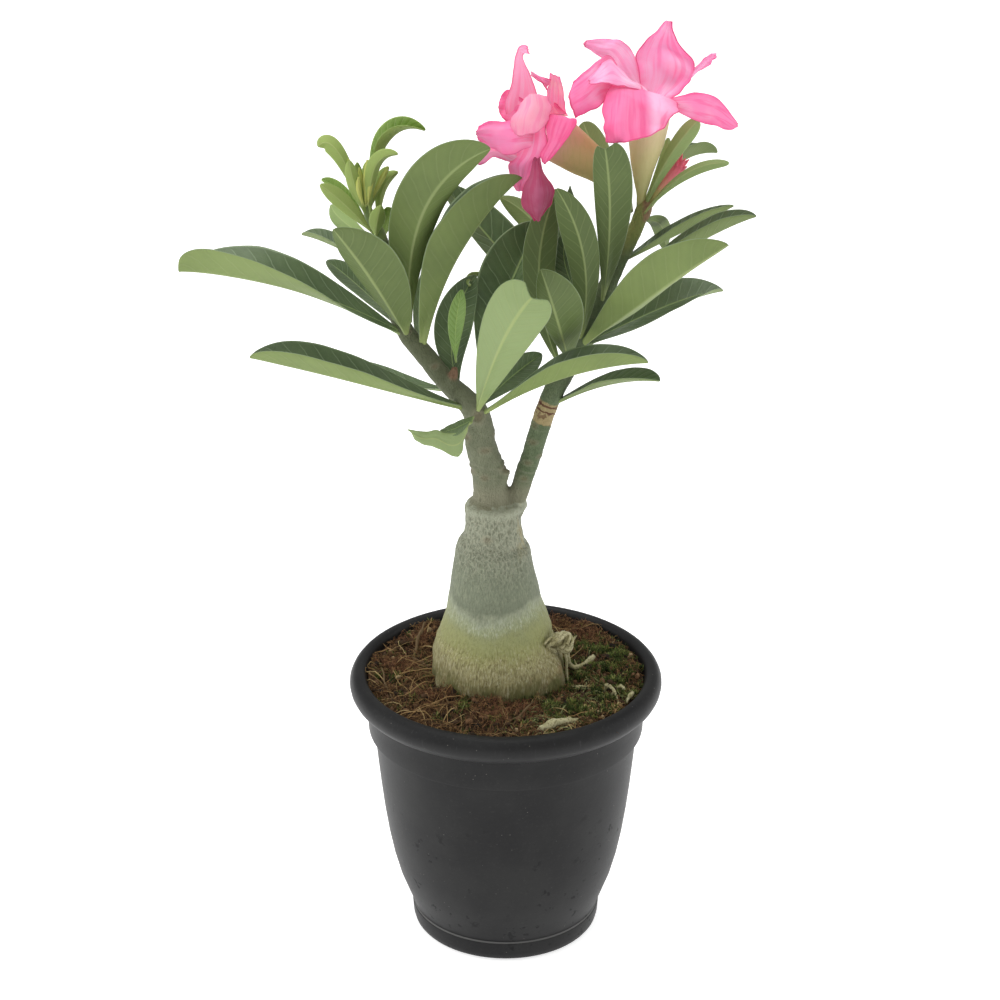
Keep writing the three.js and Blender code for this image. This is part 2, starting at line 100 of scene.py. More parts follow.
class Wire:
    """A number that varies over a surface: a shader socket that sums are written with."""

    def __init__(self, paint, socket):
        self.paint, self.socket = paint, socket

    def sum(self, operation, first, second):
        return self.paint.node("ShaderNodeMath", {"operation": operation}, {0: first, 1: second})

    def __add__(self, other):
        return self.sum("ADD", self, other)

    def __radd__(self, other):
        return self.sum("ADD", other, self)

    def __sub__(self, other):
        return self.sum("SUBTRACT", self, other)

    def __rsub__(self, other):
        return self.sum("SUBTRACT", other, self)

    def __mul__(self, other):
        return self.sum("MULTIPLY", self, other)

    def __truediv__(self, other):
        return self.sum("DIVIDE", self, other)

    def __abs__(self):
        return self.sum("ABSOLUTE", self, 0)


class Paint:
    """A material, and the one way that nodes are added to it."""

    def __init__(self, name):
        self.material = bpy.data.materials.new(name)
        self.material.use_nodes = True
        self.tree = self.material.node_tree
        self.shader = self.tree.nodes["Principled BSDF"]

    def node(self, kind, settings=None, sockets=None, output=0):
        """A node of a kind with its settings made first, then its sockets' values or links."""
        node = self.tree.nodes.new(kind)
        for key, value in (settings or {}).items():
            if key == "stops":
                ramp = node.color_ramp
                for i, (place, colour) in enumerate(value):
                    stop = ramp.elements[i] if i < 2 else ramp.elements.new(place)
                    stop.position, stop.color = place, (*colour, 1)
            else:
                setattr(node, key, value)
        for key, value in (sockets or {}).items():
            self.join(node.inputs[key], value)
        return Wire(self, node.outputs[output])

    def join(self, socket, value):
        if isinstance(value, Wire):
            self.tree.links.new(value.socket, socket)
        elif socket.type == "RGBA":
            socket.default_value = (*value[:3], 1)
        else:
            socket.default_value = value

    def place(self, stretch=(1, 1, 1)):
        """Object coordinates in millimetres, squeezed by stretch."""
        here = self.node("ShaderNodeTexCoord", output="Object")
        return self.node("ShaderNodeMapping", sockets={0: here, 3: [s / MM for s in stretch]})

    def axis(self, vector, letter):
        return self.node("ShaderNodeSeparateXYZ", sockets={0: vector}, output="XYZ".index(letter))

    def noise(self, vector, scale, detail=3, roughness=0.55, distortion=0):
        return self.node("ShaderNodeTexNoise", None, {
            "Vector": vector, "Scale": scale, "Detail": detail, "Roughness": roughness,
            "Distortion": distortion})

    def distance(self, spot):
        """How far a place is from a spot, in millimetres."""
        return self.node("ShaderNodeVectorMath", {"operation": "DISTANCE"},
                         {0: self.place(), 1: spot}, output=1)

    def stir(self, place, scale, reach):
        """The place moved a little at random, so that what is laid over it isn't regular."""
        cloud = self.node("ShaderNodeTexNoise", None,
                          {"Vector": place, "Scale": scale, "Detail": 2}, output=1)
        step = self.node("ShaderNodeVectorMath", {"operation": "MULTIPLY_ADD"},
                         {0: cloud, 1: (2 * reach,) * 3, 2: (-reach,) * 3})
        return self.node("ShaderNodeVectorMath", {"operation": "ADD"}, {0: place, 1: step})

    def cells(self, vector, scale, feature="F1"):
        """Crowded cells: the distance to a cell's middle or to its edge."""
        return self.node("ShaderNodeTexVoronoi", {"feature": feature}, {"Vector": vector, "Scale": scale})

    def vector(self, *lengths):
        """A place of its own, for a pattern that doesn't follow the object's coordinates."""
        return self.node("ShaderNodeCombineXYZ", None, dict(enumerate(lengths)))

    def fade(self, value, low, high, start=0, end=1):
        """start below low, end above high, and a smooth change between them."""
        return self.node("ShaderNodeMapRange", {"interpolation_type": "SMOOTHSTEP"}, {
            0: value, 1: low, 2: high, 3: start, 4: end})

    def attribute(self, name):
        """A number that the mesh carries at each of its points."""
        return self.node("ShaderNodeAttribute", {"attribute_name": name}, output="Fac")

    def mix(self, share, first, second, blend="MIX"):
        return self.node("ShaderNodeMix", {"data_type": "RGBA", "blend_type": blend},
                         {0: share, 6: first, 7: second}, output=2)

    def ramp(self, value, stops):
        return self.node("ShaderNodeValToRGB", {"stops": stops}, {0: value})

    def bump(self, height, strength, depth):
        return self.node("ShaderNodeBump", None, {
            "Height": height, "Strength": strength, "Distance": depth * MM})

    def surface(self, base, roughness, bump=None, **constants):
        """Joins up the shader; constants are its other sockets, in small letters."""
        self.join(self.shader.inputs["Base Color"], base)
        self.join(self.shader.inputs["Roughness"], roughness)
        if bump:
            self.join(self.shader.inputs["Normal"], bump)
        for key, value in constants.items():
            self.shader.inputs[key.replace("_", " ").title().replace("Ior", "IOR")].default_value = value
        return self.material


# ---------------------------------------------------------------- making and finishing pieces

def take(piece):
    """Selects the piece alone and makes it the active one."""
    bpy.ops.object.select_all(action="DESELECT")
    piece.select_set(True)
    bpy.context.view_layer.objects.active = piece


def added(name):
    """The object that the last operator added."""
    piece = bpy.context.object
    piece.name = piece.data.name = name
    return piece


def modify(piece, kind, **settings):
    """Adds a modifier and applies it."""
    take(piece)
    modifier = piece.modifiers.new(kind.lower(), kind)
    for key, value in settings.items():
        setattr(modifier, key, value)
    bpy.ops.object.modifier_apply(modifier=modifier.name)


def edit(piece, *steps):
    """Runs mesh operators on the whole piece in edit mode."""
    take(piece)
    bpy.ops.object.mode_set(mode="EDIT")
    bpy.ops.mesh.select_all(action="SELECT")
    for step, settings in steps:
        getattr(bpy.ops.mesh, step)(**settings)
    bpy.ops.object.mode_set(mode="OBJECT")


def mesh_of(name, points, faces):
    """A piece made straight from its points and faces."""
    data = bpy.data.meshes.new(name)
    data.from_pydata(points, [], faces)
    piece = bpy.data.objects.new(name, data)
    bpy.context.scene.collection.objects.link(piece)
    return piece


def join(pieces, name):
    """Makes one piece of several."""
    take(pieces[0])
    for piece in pieces:
        piece.select_set(True)
    bpy.ops.object.join()
    return added(name)


def set_attribute(piece, name, values):
    """Gives every point of the mesh a number that a material can read."""
    layer = piece.data.attributes.new(name, "FLOAT", "POINT")
    layer.data.foreach_set("value", values)


def complete(piece, nodes, slot, *materials, sharp=None):
    """Smooth-shades the piece, gives it its materials, hangs it under the root, and hides the CAD parts that
    it stands for.
    """
    take(piece)
    if sharp is None:
        bpy.ops.object.shade_smooth()
    else:
        bpy.ops.object.shade_smooth_by_angle(angle=math.radians(sharp))
    for i, material in enumerate(materials):
        if i < len(piece.data.materials):
            piece.data.materials[i] = material
        else:
            piece.data.materials.append(material)
    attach(piece, "root")
    if nodes:
        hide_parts(*nodes)
    return piece


def limb(name, stations, sides=16, smooth=5, capped=True):
    """A round limb through stations of x, y, z and radius in millimetres."""
    data = bpy.data.curves.new(name, "CURVE")
    data.dimensions = "3D"
    data.bevel_depth = MM
    data.bevel_resolution = max(0, sides // 4 - 1)
    data.use_fill_caps = capped
    data.resolution_u = smooth
    points = data.splines.new("BEZIER").bezier_points
    points.add(len(stations) - 1)
    for point, (x, y, z, radius) in zip(points, stations):
        point.co = (x * MM, y * MM, z * MM)
        point.handle_left_type = point.handle_right_type = "AUTO"
        point.radius = radius
    piece = bpy.data.objects.new(name, data)
    bpy.context.scene.collection.objects.link(piece)
    take(piece)
    bpy.ops.object.convert(target="MESH")
    return added(name)


def turned(name, profile, sides):
    """A ring pulled up a profile of radius and height pairs in millimetres."""
    radius, height = profile[0]
    bpy.ops.mesh.primitive_circle_add(vertices=sides, radius=radius * MM, location=(0, 0, height * MM))
    bpy.ops.object.transform_apply(location=True, rotation=True, scale=True)
    piece = added(name)
    bpy.ops.object.mode_set(mode="EDIT")
    bpy.ops.mesh.select_all(action="SELECT")
    for next_radius, next_height in profile[1:]:
        bpy.ops.mesh.extrude_region_move(
            TRANSFORM_OT_translate={"value": (0, 0, (next_height - height) * MM)})
        share = next_radius / radius
        bpy.ops.transform.resize(value=(share, share, 1), center_override=(0, 0, next_height * MM))
        radius, height = next_radius, next_height
    bpy.ops.mesh.select_all(action="SELECT")
    bpy.ops.mesh.fill_holes(sides=0)
    bpy.ops.mesh.normals_make_consistent(inside=False)
    bpy.ops.object.mode_set(mode="OBJECT")
    return piece


def direction(bearing, rise):
    """The way that lies at a bearing round the pot and a rise over the level, in degrees."""
    bearing, rise = math.radians(bearing), math.radians(rise)
    return Vector((math.cos(bearing) * math.cos(rise), math.sin(bearing) * math.cos(rise), math.sin(rise)))


def ease(value, low, high):
    """0 at low, 1 at high, and a smooth change between them."""
    share = min(1, max(0, (value - low) / (high - low)))
    return share * share * (3 - 2 * share)


def wobble(x, y, z):
    """Smooth noise, from about -1 to 1."""
    return noise.noise(Vector((x, y, z)))


def hump(distance, reach):
    """1 at no distance, and less the further away, about a third at the reach."""
    return math.exp(-(distance / reach) ** 2)


def near(x, y, spot_x, spot_y, reach):
    """How near a place on the soil is to a spot, from 0 to 1."""
    return hump(math.hypot(x - spot_x, y - spot_y), reach)


# ---------------------------------------------------------------- leaves and petals

APEX_POWER = {"round": 0.7, "sharp": 1.1, "blunt": 0.45, "notch": 0.3}
VEIN_COUNT = 13
LEAF_FLESH = (0.002, 0.004, 0.001)  # how far red, green and blue light seep through, in metres


def outline(t, peak, apex, wedge):
    """Half the blade's width at t from the stalk to the tip, as a share of its widest."""
    if t < peak:
        return max(math.sin(math.pi / 2 * t / peak) ** wedge, 0.05)
    reach = (0.97 if apex == "notch" else 1) * (t - peak) / (1 - peak)
    return 0.02 + 0.98 * max(0, 1 - reach ** 2) ** APEX_POWER[apex]


def half_width(shape, t):
    """Half the blade's width in millimetres, and never so thin that it can't have a thickness."""
    return max(0.35, shape["width"] / 2 * outline(t, shape["peak"], shape["apex"], shape["wedge"]))


def blade_point(shape, t, v, seed):
    """A point of the blade at t along its midrib and v across it, -1 and 1 at its margins."""
    start, middle, end = (Vector(shape[key]) for key in ("start", "through", "to"))
    pull = middle * 2 - (start + end) / 2
    centre = start * (1 - t) ** 2 + pull * 2 * t * (1 - t) + end * t * t
    along = ((pull - start) * (1 - t) + (end - pull) * t).normalized()
    up = direction(*shape["faces"])
    up = (up - along * up.dot(along)).normalized()
    up = Matrix.Rotation(math.radians(shape["twist"] * (t - 0.5)), 3, along) @ up
    side = along.cross(up)
    width, half = shape["width"] / 2, half_width(shape, t)
    share, hand = abs(v), (v > 0) - (v < 0)
    lift = math.radians(shape["fold"]) * min(1, 0.4 + 1.2 * t)
    out = half * share * (1 + shape["skew"] * hand)
    point = centre + side * hand * out * math.cos(lift) + up * out * math.sin(lift)
    point += along * shape["notch"] * share ** 1.3 * t ** 4
    point -= up * shape["droop"] * max(0, (t - 0.55) / 0.45) ** 2
    ruffle = 0.05 * width * share ** 2 * min(1, 1.3 * half / width)
    wave = wobble(3.1 * t, hand * 1.7, seed)
    wave += 0.6 * wobble(8.3 * t, hand * 2.9, seed + 4)
    sway = 0.03 * width * wobble(2.3 * t, 0.9 * v, seed + 9)
    return point + up * (ruffle * wave + sway)


def blade(name, node, shape, slot, materials, thickness, rib, rows, columns, seed):
    """A grid bent to the blade's shape and given a thickness that swells along the midrib."""
    bpy.ops.mesh.primitive_grid_add(x_subdivisions=columns, y_subdivisions=rows, size=1)
    piece = added(name)
    thick = piece.vertex_groups.new(name="thick")
    coordinates = piece.data.uv_layers.active.data
    places = []
    for vertex in piece.data.vertices:
        across, along = 2 * vertex.co.x, 1 - (0.5 - vertex.co.y) ** 1.35
        places.append((along, across))
        vertex.co = blade_point(shape, along, across, seed) * MM
        half = half_width(shape, along)
        swell = hump(abs(across) * half, 0.9) * (1 - along) ** 0.7
        edge = 1 - 0.45 * ease(abs(across), 0.75, 1)
        # Makes what lies about on the soil into one piece, with a tone for each of its points.
        thick.add([vertex.index], min(1, (thickness * edge + rib * swell) / (thickness + rib)), "REPLACE")
    for loop in piece.data.loops:
        along, across = places[loop.vertex_index]
        coordinates[loop.index].uv = (along, across / 2 + 0.5)
    for _ in materials:
        piece.data.materials.append(None)
    modify(piece, "SOLIDIFY", thickness=(thickness + rib) * MM, offset=-0.8, vertex_group="thick",
           thickness_vertex_group=0, material_offset=len(materials) - 1)
    modify(piece, "SUBSURF", levels=1, render_levels=1)
    set_attribute(piece, "tint", [random.Random(node).random()] * len(piece.data.vertices))
    # painted shade for the underside, the same at every point of the leaf
    set_attribute(piece, "dusk", [shape["dusk"]] * len(piece.data.vertices))
    return complete(piece, [node], slot, *materials)


def bend(points, share):
    """The place a share of the way along a smooth curve through the points."""
    reach = share * (len(points) - 1)
    i = min(int(reach), len(points) - 2)
    start, end, u = Vector(points[i]), Vector(points[i + 1]), reach - i
    before = Vector(points[i - 1]) if i else start * 2 - end
    after = Vector(points[i + 2]) if i + 2 < len(points) else end * 2 - start
    return 0.5 * (2 * start + (end - before) * u + (2 * before - 5 * start + 4 * end - after) * u * u
                  + (3 * start - before - 3 * end + after) * u ** 3)


def sheet(name, node, rows, slot, material, seed, thickness=0.6, steps=27, columns=16):
    """A thin petal laid smoothly through rows of places, from its throat to its far edge."""
    bpy.ops.mesh.primitive_grid_add(x_subdivisions=columns, y_subdivisions=steps, size=1)
    piece = added(name)
    coordinates = piece.data.uv_layers.active.data
    places = []
    for vertex in piece.data.vertices:
        along, across = vertex.co.y + 0.5, vertex.co.x + 0.5
        places.append((along, across))
        ragged = wobble(along * 9, round(across) * 5, seed)
        across += (across - 0.5) * abs(2 * across - 1) ** 6 * 0.09 * ragged
        along -= along ** 12 * 0.015 * (1 + 2 * wobble(across * 13, seed, 3))
        vertex.co = bend([bend(row, across) for row in rows], along) * MM
    piece.data.update()
    normals = [vertex.normal.copy() for vertex in piece.data.vertices]
    for vertex, normal, (along, across) in zip(piece.data.vertices, normals, places):
        edge = max(ease(abs(2 * across - 1), 0.35, 1), ease(along, 0.55, 1))
        place = vertex.co / MM
        ripple = noise.noise(place * 0.16 + Vector((seed, 0, 0))) + 0.5 * noise.noise(place * 0.42)
        crease = wobble(across * 7, along * 1.3, seed)
        vertex.co += normal * (1.6 * edge * ripple + 0.6 * crease) * MM
    for loop in piece.data.loops:
        coordinates[loop.index].uv = places[loop.vertex_index]
    modify(piece, "SOLIDIFY", thickness=thickness * MM, offset=0)
    modify(piece, "SUBSURF", levels=1, render_levels=1)
    return complete(piece, [node], slot, material)


def leaf_coordinates(paint):
    """Along the blade, and across it from 0 at the midrib to 1 at the margin."""
    uv = paint.node("ShaderNodeUVMap")
    return paint.axis(uv, "X"), abs(paint.axis(uv, "Y") * 2 - 1)


def veins(paint, along, across, spread):
    """Side veins that leave the midrib towards the tip, as a mask and as a soft quilting."""
    wander = paint.noise(paint.place(), 0.12, 2)
    phase = (along - across * 0.13 + wander * 0.03) * VEIN_COUNT
    saw = paint.node("ShaderNodeMath", {"operation": "PINGPONG"}, {0: phase, 1: 0.5})
    line = paint.fade(saw, 0, spread, 1, 0) * paint.fade(across, 0.75, 1, 1, 0.1)
    return line, saw * 2


def leaf_upper(name, deep, light, vein, gloss):
    """The glossy upper side, with pale side veins and a pale midrib."""
    paint = Paint(name)
    along, across = leaf_coordinates(paint)
    line, quilt = veins(paint, along, across, 0.07)
    here = paint.place()
    blotch = paint.fade(paint.noise(here, 0.06, 4), 0.35, 0.7)
    fine = paint.noise(here, 1.6, 3)
    colour = paint.mix(blotch * 0.6 + quilt * 0.25, deep, light)
    colour = paint.mix(paint.attribute("tint") * 0.35, colour, light)
    colour = paint.mix(line * 0.55, colour, vein)
    rib = paint.fade(across, 0.015, 0.07, 1, 0) * paint.fade(along, 0.8, 1, 1, 0.4)
    rib_colour = [0.6 * share + more for share, more in zip(vein, (0.12, 0.17, 0.03))]
    colour = paint.mix(rib * 0.85, colour, rib_colour)
    # a pale margin: painted highlight along the leaf's edge
    colour = paint.mix(paint.fade(across, 0.94, 0.985) * 0.6, colour, vein)
    colour = paint.mix(paint.fade(along, 0.1, 0.02) * 0.7, colour, [0.3, 0.38, 0.12])
    mesh = paint.cells(here, 0.9, "DISTANCE_TO_EDGE")
    height = quilt * 0.6 - rib * 0.8 + paint.fade(mesh, 0, 0.2) * 0.12 + fine * 0.1
    return paint.surface(
        colour, gloss + fine * 0.12 + line * 0.08, paint.bump(height, 0.5, 0.5),
        subsurface_weight=0.06, subsurface_radius=LEAF_FLESH, specular_ior_level=0.42)


def leaf_under(name, pale, dusky, rib_colour):
    """The matt underside, pale and dusky green at random, with painted shade that darkens upright leaves
    most.
    """
    paint = Paint(name)
    along, across = leaf_coordinates(paint)
    line, quilt = veins(paint, along, across, 0.1)
    here = paint.place()
    cloud = paint.noise(here, 0.05, 4) - 0.5
    fine = paint.noise(here, 2.2, 3)
    # the leaf's painted shade, with random cloud and the quilting, picks between pale and dusky green
    colour = paint.mix(paint.attribute("dusk") + cloud * 0.9 + (1 - quilt) * 0.12, pale, dusky)
    colour = paint.mix(line * 0.22, colour, rib_colour)
    rib = paint.fade(across, 0.02, 0.085, 1, 0)
    colour = paint.mix(rib * 0.8, colour, rib_colour)
    # a pale margin: painted highlight along the leaf's edge
    colour = paint.mix(paint.fade(across, 0.93, 0.99) * 0.5, colour, rib_colour)
    colour = paint.mix(paint.fade(along, 0.16, 0.03) * 0.7, colour, [0.33, 0.4, 0.14])
    colour = paint.mix(fine * 0.12, colour, dusky)
    height = line * 0.35 + rib * 0.5 + fine * 0.18
    return paint.surface(
        colour, 0.56 + fine * 0.1, paint.bump(height, 0.4, 0.4),
        subsurface_weight=0.08, subsurface_radius=LEAF_FLESH, specular_ior_level=0.35)


def petal_paint(name, throat, body, rim, rim_start=0.6, glow=0.05, fair=None):
    """A petal from its throat to its darker rim, with soft streaks, faint painted shade along folds and a
    fine hem.
    """
    paint = Paint(name)
    along, across = leaf_coordinates(paint)
    here = paint.place()
    flame = paint.noise(here, 0.13, 4)
    here_x = paint.axis(here, "X") * 0.05
    streak = paint.noise(paint.vector(along * 1.5, across * 22), 1, 3)
    # pale patches that lean back towards the throat's colour: painted highlights, laid at random
    patch = paint.fade(paint.noise(here, 0.09, 3, 0.5), 0.42, 0.68)
    colour = paint.mix(paint.fade(along + flame * 0.3 - 0.15, 0.02, 0.45) * (1 - patch * 0.55), throat, body)
    edge = paint.fade(across + flame * 0.45 - 0.22, rim_start, 1)
    tip = paint.fade(along + flame * 0.3 - 0.15, 0.72, 1.02)
    colour = paint.mix(edge * 0.6 + tip * 0.4, colour, rim)
    colour = paint.mix(paint.fade(streak, 0.45, 0.75) * 0.3, colour, rim)
    if fair:
        # painted light: the half of the petal past a crease is painted paler, where more light falls on it
        lean = paint.axis(here, "X") + (flame - 0.5) * 3
        colour = paint.mix(paint.fade(lean, *fair) * (1 - edge * 0.7) * 0.75, colour, [1, 0.6, 0.82])
    hem = paint.fade(across + flame * 0.04, 0.955, 0.995) + paint.fade(along + flame * 0.02, 0.975, 0.995)
    colour = paint.mix(hem * 0.7, colour, [0.62, 0.03, 0.13])
    # painted shade: faint bands of the rim's colour where the petal folds
    fold = paint.noise(paint.vector(along * 1.2, across * 3.4, here_x), 1, 2)
    colour = paint.mix(paint.fade(fold, 0.5, 0.62) * paint.fade(fold, 0.76, 0.64) * 0.5, colour, rim)
    rib = paint.fade(across, 0, 0.12, 1, 0)
    height = streak * 0.7 + rib * 0.2 + paint.noise(here, 0.9, 2) * 0.3
    # the emission is painted glow: the petal gives off faint pink light of its own
    return paint.surface(
        colour, 0.52 + streak * 0.15, paint.bump(height, 0.35, 0.5),
        subsurface_weight=0.15, subsurface_radius=(0.004, 0.0015, 0.002), specular_ior_level=0.25,
        sheen_weight=0.15, sheen_roughness=0.4, emission_color=(0.9, 0.3, 0.5, 1), emission_strength=glow)


def shape(start, through, to, faces, width, fold=0, peak=0.65, apex="round", wedge=1.25, twist=0, skew=0,
          notch=0, droop=0, dusk=0.4):
    """What a blade is bent by: three places on its midrib, the bearing and rise that its upper side
    faces, its width, the fold of its halves in degrees, where it is widest, the form of its tip and
    foot, its turn in degrees, how lopsided it is, how far its notch goes in and its tip droops, and
    how much painted shade darkens its underside."""
    return locals()


# ---------------------------------------------------------------- the branches and what grows from them

# Stations of each limb: x, y, z and radius in millimetres
SWOLLEN = [
    (-3.5, 0, 118, 20), (-3.5, 0, 128, 29), (-3.5, 0, 136, 32), (-4.2, 0, 143, 31.9), (-5, 0, 151, 30.2),
    (-4.8, 0, 159, 27.8), (-5, 0, 167, 25.2), (-5.4, 0, 174, 22.9), (-5.6, 0, 181, 21.7), (-6, 0, 188, 20.4),
    (-6.2, 0, 195.5, 19), (-6.3, 0, 202, 17.4), (-6.3, 0, 205.5, 16), (-6, 0, 208.5, 14.4),
    (-6, 0, 215, 13.4), (-6, 0, 221, 13.2), (-5.4, 0, 225.6, 12.8), (-5.2, 0, 227.4, 11.4),
]
LEFT_BRANCH = [
    (-6, 0, 222, 9.6), (-7.5, 0, 236, 8.2), (-9, 0, 246, 7.7), (-12, 0, 257, 7.3), (-12.6, 0, 266, 6.8),
    (-14.5, 0, 273, 6.1), (-19, 0, 279, 5.4), (-26, 0, 286, 4.9), (-37.5, 0, 301, 4.7), (-46.5, 0, 313, 4.2),
    (-52, 0, 328, 3.7), (-54, 0, 347, 3.2), (-57, 0, 358, 3.2),
]
RIGHT_BRANCH = [
    (3, 1, 222, 5.6), (6, 1, 231, 4.6), (9, 1, 241, 4.7), (12, 2, 250, 4.7), (14.5, 2, 259, 4.8),
    (19.5, 3, 275, 4.9), (23, 4, 283, 5), (30, 6, 296, 4.9), (36.5, 6, 311, 4.7), (42.5, 6, 323, 4.5),
    (51.5, 8, 344, 4), (57.5, 10, 355, 3.5), (60.5, 11, 362, 3.5), (63, 12, 368, 3.9),
]


def on_branch(stations, height):
    """The place on a branch's middle line at a height."""
    above = next(i for i, station in enumerate(stations) if i and station[2] >= height)
    low, high = Vector(stations[above - 1][:3]), Vector(stations[above][:3])
    return tuple(low.lerp(high, (height - low.z) / (high.z - low.z)))


def left(height):
    return on_branch(LEFT_BRANCH, height)


def right(height):
    return on_branch(RIGHT_BRANCH, height)


# Where each leaf springs from, the middle and tip of its midrib, and the way its upper side faces
# Each leaf's underside gets painted shade, strongest on leaves that stand upright and none on level ones
LEAVES = {
    "leaf_left_1": shape(left(311), (-58, -30, 345), (-75, -46, 377), (80, 30),
        fold=22, width=25, peak=0.66, wedge=1.05, skew=-0.3, dusk=0.8),
    "leaf_left_2": shape(left(310), (-96, -20, 340), (-147, -18, 348), (-20, 70),
        fold=46, width=35, peak=0.75, apex="blunt", twist=60, dusk=0),
    "leaf_left_3": shape((-44, -3, 318), (-37, -22, 377), (-7, -28, 408), (105, 20),
        fold=24, width=28, dusk=0.4, wedge=0.95, skew=0.08),
    "leaf_left_4": shape(left(304), (-21, -10, 354), (7, -6, 388), (180, 36),
        fold=58, width=37, peak=0.64, wedge=0.95, skew=0.1),
    "leaf_left_5": shape((-41, 2, 306), (-38, 20, 323), (-28, 30, 344), (-95, 35),
        fold=20, width=10, wedge=1),
    "leaf_left_6": shape(left(311), (-67, 20, 326), (-84, 32, 336), (-75, 55), fold=20, width=12),
    "leaf_left_7": shape(left(341), (-78, 20, 347), (-95, 32, 349), (-40, 80), fold=45, width=12),
    "leaf_left_8": shape(left(354), (-74, 24, 357), (-81, 36, 362), (50, -30), fold=10, width=9),
    "leaf_left_9": shape(left(284), (-57, 28, 278), (-81, 46, 280), (-135, 75), fold=25, width=14),
    "leaf_left_10": shape(left(281), (-25, 12, 308), (-14, 20, 333), (-90, 15),
        fold=20, width=19, peak=0.58, wedge=1.4),
    "leaf_left_10 tip": shape((-16, 17, 329), (-17, 20, 331), (-12, 22, 334), (90, 20),
        width=5, dusk=0, apex="sharp"),
    "leaf_left_11": shape((-23, -3, 298), (-23, -10, 319), (-20, -12, 337), (-90, -15), fold=15, width=8),
    "leaf_fork_1": shape((-13, -3, 274), (-2, -42, 322), (11, -62, 351), (60, 30),
        fold=8, width=27, peak=0.8, apex="notch", wedge=0.9, skew=0.06, notch=4),
    "leaf_fork_2": shape(left(275), (-67, -30, 299), (-115, -34, 313), (-5, 70),
        fold=52, width=27, peak=0.72, twist=10, dusk=0.1),
    "leaf_fork_3": shape((-12, -2, 273), (25, -24, 299), (64, -30, 309), (170, 70),
        fold=55, width=24, dusk=0.1),
    "leaf_fork_4": shape((-13, 2, 274), (0, 20, 321), (17, 34, 354), (-120, 35),
        fold=44, width=34, peak=0.62, wedge=1.6),
    "leaf_fork_6": shape((-13, 1, 274), (2, 12, 285), (17, 20, 294), (-75, 35), fold=25, width=13),
    "leaf_middle_1": shape(right(302), (5, 44, 327), (-31, 60, 365), (-85, 30),
        fold=20, width=20, skew=0.3),
    "leaf_middle_2": shape(right(316), (19, 46, 343), (-3, 60, 358), (70, -40), fold=10, width=12),
    "leaf_middle_3": shape(right(318), (28, 14, 337), (28, 20, 354), (-90, 10), fold=15, width=11),
    "leaf_middle_4": shape(right(304), (24, 30, 341), (21, 44, 368), (-95, 30), fold=15, width=11),
    "leaf_right_1": shape((44, 4, 326), (46, -14, 369), (43, -26, 407), (95, 20),
        fold=12, width=18, peak=0.75, apex="notch", notch=2, skew=-0.25, dusk=1, wedge=1),
    "leaf_right_2": shape(right(304), (35, -18, 352), (22, -26, 389), (95, 15),
        fold=15, width=16, peak=0.66, dusk=1, wedge=1),
    "leaf_right_3": shape(right(295), (23, -28, 327), (15, -42, 357), (100, 30),
        fold=12, width=20, peak=0.6, skew=-0.35, dusk=0.9),
    "leaf_right_4": shape(right(290), (15, 2, 336), (23, 12, 377), (90, -5), fold=15, width=16, dusk=1),
    "leaf_right_5": shape(right(318), (32, 32, 344), (30, 46, 368), (-95, 35),
        fold=15, width=9, apex="sharp"),
    "leaf_right_6": shape(right(275), (46, -6, 289), (70, -22, 297), (155, 70), fold=27, width=17),
    "leaf_right_7": shape(right(304), (66, -24, 339), (97, -40, 368), (100, 40),
        fold=36, width=33, peak=0.6, dusk=0.15),
    "leaf_right_8": shape(right(302), (73, 22, 316), (102, 30, 322), (-110, 65),
        fold=30, width=25, twist=-60),
    "leaf_right_9": shape(right(344), (77, 26, 350), (106, 38, 361), (165, 70), fold=55, width=12),
    "leaf_right_10": shape(right(322), (81, 6, 350), (113, 0, 368), (175, 55), fold=50, width=18, peak=0.7),
    "leaf_right_11": shape(right(362), (71, 30, 355), (75, 44, 337), (125, 30), fold=10, width=9),
    "leaf_right_12": shape(right(356), (45, 40, 378), (36, 56, 396), (60, -35),
        fold=10, width=14, apex="blunt"),
    "leaf_top_1": shape((63, 12, 367), (73, 8, 392), (86, 6, 411), (65, 0),
        fold=25, width=9, peak=0.8, apex="blunt"),
    "leaf_top_2": shape((61, 15, 366), (70, 20, 383), (74, 26, 397), (90, -20),
        fold=20, width=4.6, apex="blunt"),
    "leaf_top_3": shape((63, 15, 367), (79, 32, 383), (98, 44, 385), (170, 65),
        fold=45, width=17, peak=0.62),
    "leaf_top_4": shape((63, 9, 366), (81, 5, 386), (100, 2, 392), (70, -30),
        fold=20, width=5.4, apex="blunt"),
}

# The leaf below the fork hangs folded: its underside shows in front and its upper side above
FOLDED_LEAF = {
    "under": (
        ((-16, -12, 273), (-17, -14, 273), (-18, -14, 271)),
        ((-22, -20, 271), (-21, -20, 266), (-21, -18, 260)),
        ((-28, -24, 272), (-26, -24, 266), (-23, -20, 258)),
        ((-32, -25, 274), (-32, -26, 270), (-29, -24, 263)),
        ((-37, -25, 273), (-38, -26, 270), (-36, -25, 266)),
        ((-46, -24, 274), (-45, -24, 273), (-42, -24, 270)),
    ),
    "upper": (
        ((-15, -9, 274), (-15, -10, 273), (-16, -12, 273)),
        ((-19, -12, 274), (-20, -17, 273), (-21, -20, 270)),
        ((-25, -17, 273), (-25, -21, 272), (-25, -23, 270)),
        ((-30, -22, 273), (-30, -23, 272), (-30, -24, 272)),
    ),
}
GROWING_POINT = [
    (-56, 0, 354, 2.9), (-57, 0, 358.6, 2.8), (-61, 1, 366, 2.8), (-63, 1, 373, 1.9), (-63, 1, 376, 0.6),
]
